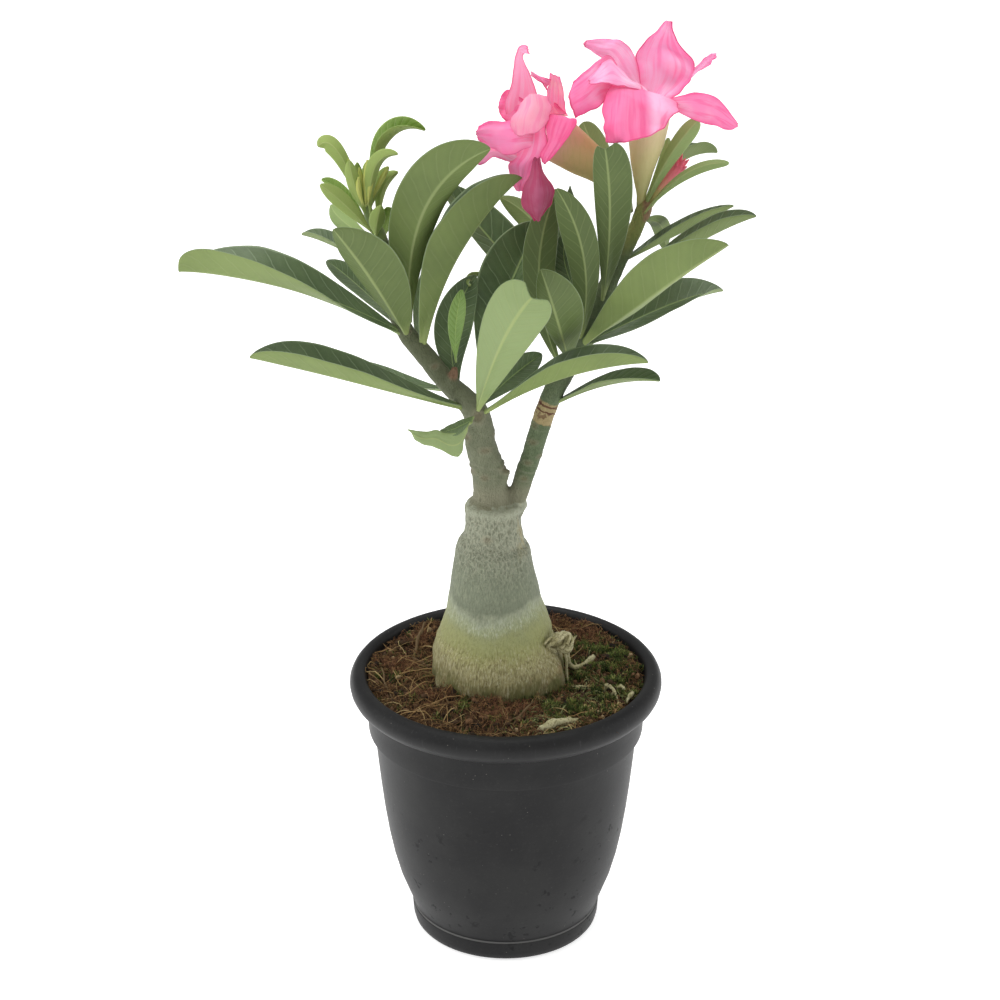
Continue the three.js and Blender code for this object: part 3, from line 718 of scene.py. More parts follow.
YOUNG_LEAVES = [
    shape((-62, 2, 362), (-74, 2, 395), (-84, 4, 400), (105, -15),
        fold=30, width=9, peak=0.72, apex="blunt", droop=2),
    shape((-62, 4, 362), (-74, 10, 375), (-84, 14, 381), (-65, 45), fold=35, width=7, peak=0.6),
    shape((-60, -1, 360), (-72, -6, 375), (-83, -10, 386), (105, 10), fold=20, width=8.5, peak=0.6),
    shape((-62, 3, 370), (-53, 4, 401), (-36, 0, 408), (-165, 35), fold=62, width=15, peak=0.55),
    shape((-61, -1, 367), (-59, -6, 392), (-48, -10, 400), (100, 20), fold=35, width=8, peak=0.6),
    shape((-62, 3, 368), (-58, 8, 381), (-53, 10, 388), (90, -15), fold=20, width=5, peak=0.55),
    shape((-63, 1, 369), (-63, 0, 384), (-62, 0, 394), (90, 5), fold=25, width=5.5, peak=0.5),
    shape((-63, 2, 369), (-66, 4, 381), (-67, 4, 392), (95, -5), fold=25, width=6, peak=0.5),
    shape((-63, 1, 368), (-68, -4, 384), (-70, -6, 396), (100, 10), fold=25, width=7, peak=0.5),
    shape((-58, 3, 362), (-56, 8, 378), (-49, 12, 385), (115, -10), fold=40, width=7),
    shape((-59, -1, 359), (-58, -8, 368), (-56, -9, 376), (95, 15), fold=25, width=8, peak=0.5),
    shape((-56, 1, 357), (-54, 9, 363), (-54, 10, 369), (-85, 25), fold=10, width=6.5, apex="blunt"),
    # the thin new leaves at the heart of the shoot
    shape((-64, 0, 373), (-65, 0, 383), (-66, -1, 391), (95, 5), fold=25, width=2.6, apex="sharp"),
    shape((-63, -2, 373), (-63, -2, 384), (-62, -2, 395), (80, 5), fold=25, width=2.8, apex="sharp"),
    shape((-64, 3, 373), (-68, 3, 384), (-71, 3, 394), (100, 10), fold=30, width=3, apex="sharp"),
    shape((-62, 1, 374), (-57, 1, 383), (-53, 1, 391), (80, 10), fold=30, width=2.8, apex="sharp"),
    shape((-62, -3, 374), (-61, -4, 383), (-59, -4, 390), (90, 0), fold=25, width=2.4, apex="sharp"),
    shape((-64, -3, 374), (-66, -4, 381), (-66, -5, 388), (90, 5), fold=25, width=2.6, apex="sharp"),
]

# Stations of the flower tubes, from stalk to lip
TUBE_RIGHT = [
    (61, 12.5, 366, 1.7), (61.5, 12, 374, 2.2), (61.8, 12, 383, 4.4), (62.3, 12, 391, 6.4),
    (63.2, 12, 399, 8.3), (64, 12, 409, 9.6), (64.3, 12, 417, 10.2),
]
TUBE_LEFT = [
    (56.5, 11, 366, 1.6), (54.5, 11, 373, 2.4), (50, 11, 380, 4.6), (42, 10, 387.5, 7.2),
    (33, 9, 394, 9.2), (25.5, 8, 399.8, 10.4), (22, 7, 402.5, 10.8),
]
# Rows of places across each petal, from its throat to its far edge. A word after the node's name
# tells apart the sheets of one node.
PETALS = {
    "petal_right_1": (
        ((60, 13, 420), (62, 14, 421), (64, 14, 422)),
        ((56, 17, 423), (59, 17, 424), (61, 18, 425)),
        ((50, 19, 427), (54, 19, 431), (58, 21, 436)),
        ((46, 23, 433), (49, 22, 438), (52, 24, 442)),
        ((42, 25, 435), (43, 24, 439), (45, 26, 443)),
        ((35, 26, 440), (34, 26, 441), (35, 26, 442)),
    ),
    "petal_right_1 back": (
        ((53, 13, 417), (57, 19, 417), (63, 22, 418)),
        ((50, 18, 421), (55, 24, 423), (61, 27, 424)),
        ((50, 24, 424), (54, 28, 428), (59, 30, 429)),
        ((51, 29, 429), (53, 31, 431), (57, 32, 432)),
    ),
    "petal_right_2": (
        ((62, 11, 422), (61, 10, 421), (61, 9, 421)),
        ((60, 13, 425), (58, 12, 424), (56, 10, 424)),
        ((53, 10, 429), (49, 6, 427), (45, 3, 425)),
        ((46, 8, 440), (41, 2, 432), (43, -3, 421)),
        ((37, 5, 435), (34, -1, 427), (37, -5, 418)),
        ((29, 2, 429), (27, -3, 423), (30, -5, 414)),
    ),
    "petal_right_2 fold": (
        ((60, 8, 426), (60, 8, 425), (60, 8, 424)),
        ((51, 6, 433), (52, 3, 430), (53, 2, 427)),
        ((46, 5, 439), (47, 0, 434), (47, -4, 430)),
        ((42, 2, 437), (43, -3, 433), (42, -6, 431)),
        ((36, -3, 431), (36, -4, 430), (36, -4, 430)),
    ),
    "petal_right_3": (
        ((48, 5, 424), (55, 10, 422), (63, 12, 420), (73, 8, 418)),
        ((46, 2, 428), (53, 6, 426), (61, 9, 424), (76, 5, 420)),
        ((43, -8, 423), (52, -12, 424), (61, -4, 421), (77, -3, 418)),
        ((42, -14, 415), (51, -20, 416), (62, -8, 414), (73, -8, 416)),
        ((43, -16, 406), (52, -22, 408), (63, -12, 408), (69, -11, 412)),
    ),
    "petal_right_4": (
        ((68, 9, 419), (68, 8, 417), (69, 7, 415)),
        ((72, 8, 420), (72, 7, 418), (73, 6, 416)),
        ((79, 4, 423), (79, 2, 419), (79, 3, 414)),
        ((86, 2, 425), (86, 0, 418), (88, 2, 411)),
        ((94, 1, 422), (94, -1, 416), (93, 1, 410)),
        ((100, 0, 415), (100, -1, 412), (97, 0, 408)),
        ((103, 0, 411), (103, 0, 410), (101, 0, 409)),
    ),
    "petal_right_5": (
        ((61, 14, 418), (65, 13, 417), (69, 12, 417), (72, 11, 416)),
        ((60, 17, 423), (65, 15, 421), (70, 13, 420), (74, 12, 419)),
        ((59, 18, 430), (67, 18, 428), (76, 20, 425), (80, 13, 424)),
        ((58, 20, 436), (67, 20, 435), (78, 17, 433), (84, 18, 428)),
        ((62, 21, 443), (68, 22, 441), (74, 23, 439), (85, 19, 434)),
        ((67, 22, 447), (70, 22, 446), (73, 22, 445), (78, 20, 441)),
        ((70, 22, 451), (72, 22, 450), (73, 22, 449), (75, 21, 446)),
        ((72, 22, 452), (72, 22, 452), (73, 22, 452), (73, 22, 452)),
    ),
    "petal_right_5 back": (
        ((62, 18, 417), (66, 21, 416), (70, 20, 416)),
        ((62, 22, 421), (67, 25, 420), (75, 23, 419)),
        ((63, 28, 426), (70, 31, 424), (79, 29, 423)),
        ((65, 34, 430), (72, 36, 429), (80, 34, 427)),
        ((70, 38, 432), (74, 39, 432), (77, 38, 431)),
    ),
    "petal_right_6": (
        ((70, 14, 419), (70, 14, 418), (71, 14, 418)),
        ((78, 19, 425), (78, 19, 424), (77, 18, 423)),
        ((84, 20, 431), (83, 19, 429), (83, 20, 426)),
        ((89, 22, 434), (88, 21, 433), (88, 22, 430)),
        ((92, 25, 436), (92, 24, 435), (92, 25, 433)),
        ((95, 27, 436), (95, 27, 435), (95, 27, 434)),
    ),
    "petal_left_1": (
        ((20, 17, 406), (23, 16, 409), (27, 9, 413)),
        ((12, 12, 409), (15, 13, 409), (20, 12, 412)),
        ((2, 8, 411), (7, 9, 409), (16, 9, 412)),
        ((-1, 6, 418), (6, 8, 416), (15, 8, 418)),
        ((2, 6, 426), (7, 8, 425), (13, 8, 425)),
        ((3, 5, 434), (7, 7, 433), (10, 7, 433)),
        ((4, 4, 441), (6, 5, 440), (7, 5, 439)),
        ((6, 2, 446), (7, 3, 444), (8, 3, 442)),
        ((10, -1, 446), (10, 0, 444), (10, 0, 442)),
    ),
    "petal_left_1 back": (
        ((27, 8, 413), (23, 15, 410), (18, 17, 405)),
        ((22, 14, 417), (18, 19, 413), (14, 19, 409)),
        ((17, 18, 416), (12, 23, 415), (9, 22, 412)),
        ((11, 22, 419), (7, 25, 418), (4, 24, 416)),
    ),
    "petal_left_2": (
        ((22, 16, 408), (25, 13, 410), (27, 9, 412)),
        ((19, 12, 412), (22, 14, 412), (26, 12, 414)),
        ((18, 11, 420), (22, 14, 419), (26, 12, 419)),
        ((19, 12, 426), (22, 14, 424), (25, 13, 425)),
        ((20, 13, 431), (21, 14, 430), (24, 13, 429)),
    ),
    "petal_left_2 rim": (
        ((11, 7, 433), (11, 7, 432), (11, 7, 431)),
        ((15, 9, 430), (15, 9, 429), (16, 9, 427)),
        ((20, 12, 428), (19, 12, 426), (18, 11, 423)),
    ),
    "petal_left_3": (
        ((22, 15, 412), (20, 18, 408), (18, 16, 404)),
        ((14, 12, 416), (14, 14, 411), (14, 11, 407)),
        ((6, 8, 421), (6, 8, 416), (6, 6, 410)),
        ((1, 9, 424), (1, 8, 417), (1, 5, 410)),
        ((-2, 9, 422), (-4, 8, 417), (-2, 5, 412)),
    ),
    "petal_left_4": (
        ((13, 3, 414), (16, 4, 414), (19, 3, 414)),
        ((7, -6, 423), (12, -6, 426), (18, -6, 425)),
        ((5, -10, 420), (12, -14, 423), (20, -8, 421)),
        ((2, -12, 415), (10, -17, 417), (19, -10, 417)),
        ((4, -10, 409), (9, -13, 409), (17, -9, 412)),
    ),
    "petal_left_5": (
        ((18, 13, 404), (16, 9, 401), (16, 3, 399)),
        ((11, 0, 413), (12, -2, 406), (14, -3, 401)),
        ((5, -3, 414), (6, -8, 408), (8, -6, 401)),
        ((-1, -2, 413), (0, -8, 408), (2, -7, 399)),
        ((-8, -4, 413), (-8, -8, 408), (-6, -6, 401)),
        ((-13, -5, 411), (-14, -6, 408), (-13, -6, 405)),
    ),
    "petal_left_5 back": (
        ((18, 16, 405), (16, 13, 401), (15, 8, 398)),
        ((12, 20, 404), (10, 17, 400), (9, 12, 397)),
        ((4, 23, 404), (2, 21, 401), (1, 16, 398)),
        ((-2, 24, 403), (-4, 23, 401), (-4, 20, 399)),
    ),
    "petal_left_5 strap": (
        ((7, 0, 399), (5, -2, 396), (2, 0, 393)),
        ((-1, -2, 400), (-1, -4, 399), (-2, -2, 395)),
        ((-6, -3, 401), (-7, -5, 399), (-6, -4, 397)),
        ((-10, -4, 397), (-11, -5, 396), (-10, -5, 394)),
        ((-13, -5, 395), (-13, -5, 394), (-12, -5, 393)),
    ),
    "petal_left_6": (
        ((16, 6, 410), (19, 5, 411), (22, 3, 412)),
        ((7, 3, 409), (12, 1, 411), (19, -2, 415)),
        ((7, 0, 403), (12, -4, 405), (18, -6, 410)),
        ((4, 0, 396), (10, -5, 398), (18, -6, 401)),
        ((1, 0, 392), (7, -4, 393), (14, -5, 396)),
        ((2, 2, 386), (7, -2, 388), (11, -3, 389)),
        ((4, 3, 381), (6, 1, 383), (9, 0, 383)),
        ((5, 3, 379), (6, 3, 379), (7, 3, 379)),
    ),
    "petal_left_7": (
        ((20, 1, 412), (23, 0, 411), (27, -2, 410)),
        ((19, -8, 417), (25, -10, 417), (31, -14, 416)),
        ((18, -8, 412), (23, -12, 412), (29, -14, 411)),
        ((18, -7, 405), (21, -10, 405), (25, -12, 405)),
        ((15, -7, 399), (18, -9, 399), (21, -10, 399)),
        ((16, -8, 395), (17, -8, 394), (17, -8, 395)),
    ),
    "petal_left_8": (
        ((16, 0, 399), (17, 0, 399), (19, 0, 398)),
        ((12, -6, 396), (14, -6, 396), (15, -6, 396)),
        ((10, -11, 390), (14, -14, 391), (18, -11, 390)),
        ((7, -12, 384), (14, -17, 385), (21, -12, 385)),
        ((7, -12, 377), (14, -17, 379), (20, -12, 378)),
        ((10, -12, 372), (14, -14, 372), (17, -12, 373)),
        ((13, -11, 369), (14, -11, 369), (15, -11, 369)),
    ),
}
# The bud's stations, then the foot and the point of each loose tip
BUD = [
    (65.6, 13, 368.6, 1.3), (67.8, 13, 373.4, 2.4), (70.4, 13, 377.2, 3.1), (73.5, 13, 380.9, 2.7),
    (76.6, 13, 384.8, 3), (78.6, 13, 387.3, 2.7), (79.8, 13, 388.6, 1.4),
]
BUD_TIPS = [
    ((77, 12.2, 387), (77.6, 11.6, 391)), ((78.4, 14, 388), (79.8, 14, 393)),
    ((78.8, 12, 387.6), (81.2, 11.6, 391.6)), ((79.4, 14, 387), (83, 14, 390.4)),
    ((78.8, 12, 386), (82, 11.4, 387.8)),
]

# For the upper side: name, dark and light green, veins and roughness; for the underside: name, pale and
# dusky green, and midrib. The dusky green is also the colour of each leaf's painted shade
LEAF_COLOURS = {
    "old": (("leaf_upper", [0.065, 0.105, 0.042], [0.13, 0.19, 0.08], [0.27, 0.35, 0.19], 0.3),
            ("leaf_underside", [0.2, 0.265, 0.08], [0.1, 0.142, 0.043], [0.28, 0.34, 0.13])),
    "pale": (("leaf_upper_pale", [0.08, 0.13, 0.045], [0.14, 0.2, 0.08], [0.25, 0.34, 0.16], 0.34),
             ("leaf_underside_pale", [0.27, 0.35, 0.15], [0.2, 0.27, 0.1], [0.33, 0.39, 0.15])),
    "fresh": (("leaf_upper_fresh", [0.13, 0.23, 0.045], [0.2, 0.32, 0.07], [0.32, 0.44, 0.14], 0.34),
              ("leaf_underside_fresh", [0.3, 0.4, 0.15], [0.22, 0.31, 0.1], [0.36, 0.44, 0.18])),
    "young": (("young_upper", [0.15, 0.26, 0.045], [0.28, 0.41, 0.08], [0.42, 0.53, 0.18], 0.36),
              ("young_underside", [0.38, 0.48, 0.14], [0.27, 0.37, 0.09], [0.46, 0.54, 0.2])),
    "newest": (("newest_upper", [0.36, 0.42, 0.08], [0.5, 0.54, 0.12], [0.6, 0.62, 0.2], 0.36),
               ("newest_underside", [0.6, 0.62, 0.17], [0.48, 0.52, 0.12], [0.62, 0.64, 0.22])),
}
PALE_LEAVES = ("leaf_fork_1",)
FRESH_LEAVES = ("leaf_left_11", "leaf_left_8", "leaf_top_1", "leaf_top_2", "leaf_top_4")


def add_leaves(paints):
    for i, (name, details) in enumerate(LEAVES.items()):
        node, width = name.split()[0], details["width"]
        kind = "pale" if node in PALE_LEAVES else "fresh" if node in FRESH_LEAVES else "old"
        blade(name.replace(" ", "_") + "_blade", node, details, "leaf", paints[kind],
              thickness=0.7, rib=0.5 + width / 22, rows=int(18 + 12 * (0.6 + width / 60)), columns=12,
              seed=i * 3.7)
    for side, paint in zip(("under", "upper"), paints["pale"][::-1]):
        piece = sheet(f"leaf_fork_5_{side}", "leaf_fork_5", FOLDED_LEAF[side], "leaf", paint, seed=8,
                      thickness=0.8, steps=24, columns=12)
        # painted shade for the folded leaf's underside
        set_attribute(piece, "dusk", [0.3] * len(piece.data.vertices))
    for i, details in enumerate(YOUNG_LEAVES):
        kind = "newest" if details["width"] <= 3 else "young"
        blade(f"young_leaf_{i}_blade", "young_leaves", details, "young", paints[kind],
              thickness=0.6, rib=0.7, rows=18, columns=8, seed=200 + i * 2.3)


def add_growing_point(paints):
    shoot = limb("growing_point", GROWING_POINT, 16)
    edit(shoot, ("subdivide", {"number_cuts": 1}))
    complete(shoot, ["young_leaves"], "young", shoot_paint())


def shoot_paint():
    paint = Paint("shoot_skin")
    here = paint.place()
    cloud = paint.noise(here, 0.3, 3)
    streak = paint.noise(paint.place((1, 1, 0.2)), 1.2, 2)
    colour = paint.mix(cloud, [0.2, 0.27, 0.08], [0.13, 0.18, 0.06])
    return paint.surface(colour, 0.5 + streak * 0.15, paint.bump(streak, 0.4, 0.4))


# ---------------------------------------------------------------- flowers

def flower_tube(name, node, stations, paint):
    """A stalk that opens into a hollow tube with a thin lip."""
    tube = limb(name, stations, 32, smooth=6, capped=False)
    edit(tube, ("normals_make_consistent", {"inside": False}))
    modify(tube, "SOLIDIFY", thickness=0.9 * MM, offset=-1, use_rim=True)
    modify(tube, "SUBSURF", levels=1, render_levels=1)
    base = Vector(stations[0][:3]) * MM
    run = (Vector(stations[-1][:3]) * MM - base).length
    set_attribute(tube, "along", [(v.co - base).length / run for v in tube.data.vertices])
    return complete(tube, [node], "tube", paint)


def tube_paint(name, low, middle, high, blush):
    paint = Paint(name)
    here = paint.place()
    along = paint.attribute("along")
    cloud = paint.noise(here, 0.15, 3)
    ribs = paint.noise(paint.place((1, 1, 0.12)), 0.8, 3)
    colour = paint.ramp(along + cloud * 0.16 - 0.08, [
        (0.03, [0.16, 0.2, 0.07]), (0.14, low), (0.5, middle), (0.82, high), (0.97, blush)])
    colour = paint.mix(paint.fade(ribs, 0.4, 0.75) * 0.2, colour, low)
    return paint.surface(
        colour, 0.55 + ribs * 0.12, paint.bump(ribs + cloud * 0.4, 0.35, 0.5),
        subsurface_weight=0.12, subsurface_radius=(0.003, 0.002, 0.001), specular_ior_level=0.3)


def add_flowers():
    flower_tube("tube_right_wall", "tube_right", TUBE_RIGHT, tube_paint(
        "flower_tube_pale", [0.5, 0.48, 0.2], [0.64, 0.57, 0.27], [0.72, 0.6, 0.36], [0.85, 0.5, 0.45]))
    flower_tube("tube_left_wall", "tube_left", TUBE_LEFT, tube_paint(
        "flower_tube_dusky", [0.34, 0.33, 0.1], [0.48, 0.38, 0.14], [0.58, 0.41, 0.19], [0.66, 0.4, 0.26]))
    # throat, body and rim, then where the rim's colour starts and how much painted glow the petal gives off
    pink = petal_paint("petal_pink", [1, 0.56, 0.76], [1, 0.36, 0.62], [0.94, 0.13, 0.38])
    soft = petal_paint("petal_soft", [1, 0.66, 0.84], [1, 0.43, 0.68], [0.95, 0.2, 0.46], 0.7)
    # warm and cream give off more painted glow, to lighten petals that lie in shade
    warm = petal_paint("petal_warm", [1, 0.56, 0.68], [1, 0.46, 0.66], [0.95, 0.22, 0.44], 0.65, 0.16)
    deep = petal_paint("petal_deep", [0.92, 0.12, 0.32], [0.94, 0.2, 0.42], [0.84, 0.05, 0.22], 0.5)
    # this petal's half past its crease is painted paler, as painted light
    half = petal_paint("petal_half_pale", [0.92, 0.16, 0.36], [0.94, 0.22, 0.44], [0.85, 0.07, 0.25], 0.6,
                       fair=(61, 66))
    rose = petal_paint("petal_rose", [1, 0.48, 0.66], [1, 0.27, 0.52], [0.9, 0.08, 0.29], 0.5)
    cream = petal_paint("petal_cream", [1, 0.76, 0.58], [1, 0.46, 0.66], [0.95, 0.2, 0.44], 0.6, 0.16)
    cap = petal_paint("petal_cap", [0.93, 0.36, 0.48], [0.92, 0.38, 0.5], [0.9, 0.17, 0.38], 0.62)
    dark = petal_paint("petal_hanging", [0.5, 0.13, 0.24], [0.4, 0.065, 0.14], [0.42, 0.03, 0.1], 0.5, 0.02)
    looks = {
        "petal_right_1": soft, "petal_right_2 fold": soft, "petal_right_3": half, "petal_right_5": pink,
        "petal_right_5 back": pink, "petal_right_6": pink, "petal_left_1": warm, "petal_left_2": cream,
        "petal_left_4": cap, "petal_left_7": deep, "petal_left_8": dark}
    for i, (name, rows) in enumerate(PETALS.items()):
        sheet(name.replace(" ", "_") + "_sheet", name.split()[0], rows, "petal", looks.get(name, rose),
              seed=50 + i * 5.1)


def add_bud():
    """A twisted spindle of folded petals with five loose tips."""
    bud = limb("bud_closed", BUD, 24, smooth=8)
    tips = []
    for base, tip in BUD_TIPS:
        middle = tuple((a + b) / 2 for a, b in zip(base, tip))
        tips.append(limb("bud_tip", [base + (1.5,), middle + (0.95,), tip + (0.2,)], 10, 4))
    axis_start, axis_end = Vector(BUD[0][:3]) * MM, Vector(BUD[-1][:3]) * MM
    way = axis_end - axis_start
    length = way.length
    way.normalize()
    along = []
    for vertex in bud.data.vertices:
        reach = (vertex.co - axis_start).dot(way)
        along.append(reach / length)
        spoke = vertex.co - axis_start - way * reach
        turn = math.atan2(spoke.dot(way.orthogonal()), spoke.dot(way.cross(way.orthogonal())))
        groove = abs(math.sin(2.5 * turn + 5 * along[-1])) ** 0.6
        if along[-1] > 0.3:
            vertex.co -= spoke * 0.16 * (1 - groove) * ease(along[-1], 0.3, 0.6)
    for tip in tips:
        along += [0.97] * len(tip.data.vertices)
    bud = join([bud] + tips, "bud_closed")
    set_attribute(bud, "along", along)
    paint = Paint("bud_skin")
    colour = paint.ramp(paint.attribute("along") + paint.noise(paint.place(), 0.4, 2) * 0.2 - 0.1, [
        (0.08, [0.3, 0.34, 0.1]), (0.3, [0.46, 0.4, 0.14]), (0.46, [0.7, 0.3, 0.2]),
        (0.7, [0.82, 0.2, 0.24]), (0.95, [0.7, 0.1, 0.16])])
    grain = paint.noise(paint.place(), 1.2, 3)
    # the faint red emission is painted glow
    complete(bud, ["bud"], "bud", paint.surface(
        colour, 0.5, paint.bump(grain, 0.3, 0.4), subsurface_weight=0.1,
        subsurface_radius=(0.002, 0.001, 0.001), emission_color=(0.8, 0.2, 0.2, 1), emission_strength=0.03))


# ---------------------------------------------------------------- trunk

COLLAR = 226.6  # where the grey bark of the foot ends in a ragged lip
# Colours up the foot, from 110 mm above the pot's underside over the next 130 mm
FOOT_BANDS = [
    (0.0, [0.07, 0.055, 0.03]), (0.13, [0.12, 0.1, 0.045]), (0.2, [0.19, 0.165, 0.075]),
    (0.24, [0.31, 0.27, 0.12]), (0.29, [0.38, 0.35, 0.17]), (0.335, [0.37, 0.355, 0.15]),
    (0.375, [0.33, 0.34, 0.13]), (0.45, [0.285, 0.305, 0.14]), (0.475, [0.33, 0.36, 0.2]),
    (0.505, [0.31, 0.34, 0.235]), (0.527, [0.19, 0.215, 0.145]), (0.66, [0.185, 0.21, 0.145]),
    (0.74, [0.27, 0.29, 0.21]), (0.9, [0.3, 0.32, 0.23]),
]
# Two short stubs on the branches, two swellings at the foot, and the end of the shoot by the bud
STUBS = [
    [(-24, -1, 284, 3), (-24.5, -4, 291, 2.6), (-23.5, -5, 297, 1.6)],
    [(-3, -3, 239, 4), (-0.5, -4, 243, 2.2), (0, -4.4, 245, 1)],
    [(-24, -12, 122, 6), (-26, -13, 137, 8.4), (-23, -11, 150, 6), (-18, -8, 158, 2)],
    [(19, -12, 120, 5), (21, -12, 137, 8.4), (19, -11, 149, 6), (13, -9, 160, 2)],
    [(60.5, 12, 362, 3), (63, 11.5, 368, 3.8), (65, 11, 371, 2.4)],
]
# Leaf scars and warts: place, half width across, half height, and how far the ring stands up
SCARS = [
    ((-9.8, -8.5, 256), 3.0, 1.6, 0.5), ((-13, -7.5, 272.7), 3.0, 3.6, 0.9),
    ((-16.8, -9, 244.5), 2.8, 2.0, 0.7), ((-4.2, -6, 262.5), 2.0, 1.4, 0.5),
    ((-18.2, -2, 262), 2.0, 2.2, 0.6), ((0.5, -6, 245.5), 3.6, 2.0, 1.3),
    ((-10, -9.5, 242.4), 2.2, 1.6, 0.6), ((12.6, -2, 258.3), 2.4, 1.4, 0.4),
    ((10.3, -3, 248.1), 2.2, 1.3, 0.4), ((15.9, -3, 250.6), 1.8, 1.1, 0.35),
    ((8.5, -3, 240.4), 2.0, 1.6, 0.5), ((13.4, -2, 266.5), 1.6, 1.4, 0.4),
    ((-8.9, -21, 213), 2.4, 1.8, 0.5), ((12.3, -10, 216.7), 2.2, 1.6, 0.5),
    ((5.6, -20, 207.4), 2.6, 1.5, 0.5),
    ((27, 0, 297), 2.0, 1.6, 0.5), ((35, 0, 318), 1.8, 1.5, 0.5), ((44, 3, 338), 1.6, 1.4, 0.5),
    ((-33, -5, 297), 1.8, 1.5, 0.5), ((-45, -4, 314), 1.7, 1.5, 0.5), ((-52, -4, 336), 1.6, 1.4, 0.5),
]


def foot_relief(place):
    """How far the foot's bark stands out: fissures low down, then the ledge, the lip and a net."""
    x, y, height = place
    low = ease(height, 165, 150) * ease(height, 108, 125)
    column = Vector((x, y, height * 0.16))
    fissure = noise.noise(column * 0.55) + 0.5 * noise.noise(column * 1.2)
    lumps = wobble(x * 0.12, y * 0.12, height * 0.08 + 5)
    push = low * (0.9 * lumps + 0.4 * fissure) + 0.25 * (1 - low) * fissure * 0.6
    ledge = 155 + 5 * wobble(x * 0.05, y * 0.05, 3) + 0.12 * abs(x - TRUNK_X)
    push -= 0.5 * hump(height - ledge - 1.2, 1.6)
    lip = COLLAR + 1.2 * wobble(x * 0.3, y * 0.3, 9)
    push += 0.9 * hump(height - lip + 1.5, 1.8) * ease(height, lip + 0.6, lip - 0.4)
    push += 0.8 * hump(height - 203.5 - noise.noise(place * 0.06) * 3, 3.5)
    return push + 0.12 * noise.cell(Vector((x * 0.5, y * 0.5, height * 0.3))) * ease(height, 190, 205)


def branch_relief(place):
    """Faint growth rings and unevenness of a branch."""
    rings = wobble(noise.noise(place * 0.06), 0, place.z * 0.35)
    return 0.22 * rings + 0.15 * noise.noise(place * 0.4)


def add_trunk():
    limbs = [limb("swollen_foot", SWOLLEN, 64, 6), limb("left_branch", LEFT_BRANCH, 32, 8),
             limb("right_branch", RIGHT_BRANCH, 32, 8)]
    limbs += [limb("stub", stations, 24, 6) for stations in STUBS]
    trunk = join(limbs, "trunk_bark")
    modify(trunk, "REMESH", mode="VOXEL", voxel_size=0.84 * MM, use_smooth_shade=True)
    modify(trunk, "SMOOTH", factor=0.5, iterations=5)
    normals = [vertex.normal.copy() for vertex in trunk.data.vertices]
    scars, rings = [], []
    for vertex, normal in zip(trunk.data.vertices, normals):
        place = vertex.co / MM
        push = foot_relief(place) if place.z < COLLAR + 5.4 else branch_relief(place)
        scar, ring = 0, 0
        for centre, across, up, rise in SCARS:
            away = place - Vector(centre)
            if abs(away.z) > 3 * up or abs(away.x) > 3 * across or abs(away.y) > 9:
                continue
            span = math.hypot(away.x / across, away.z / up)
            scar = max(scar, ease(span, 1.3, 0.8))
            ring = max(ring, hump(span - 0.95, 0.28))
            push += rise * (0.8 * hump(span - 0.9, 0.4) - 0.25 * ease(span, 0.7, 0.2))
        scars.append(scar)
        rings.append(ring)
        vertex.co += normal * push * MM
    set_attribute(trunk, "scar", scars)
    set_attribute(trunk, "ring", rings)
    modify(trunk, "SMOOTH", factor=0.25, iterations=1)
    return complete(trunk, ["trunk"], "bark", bark_paint())


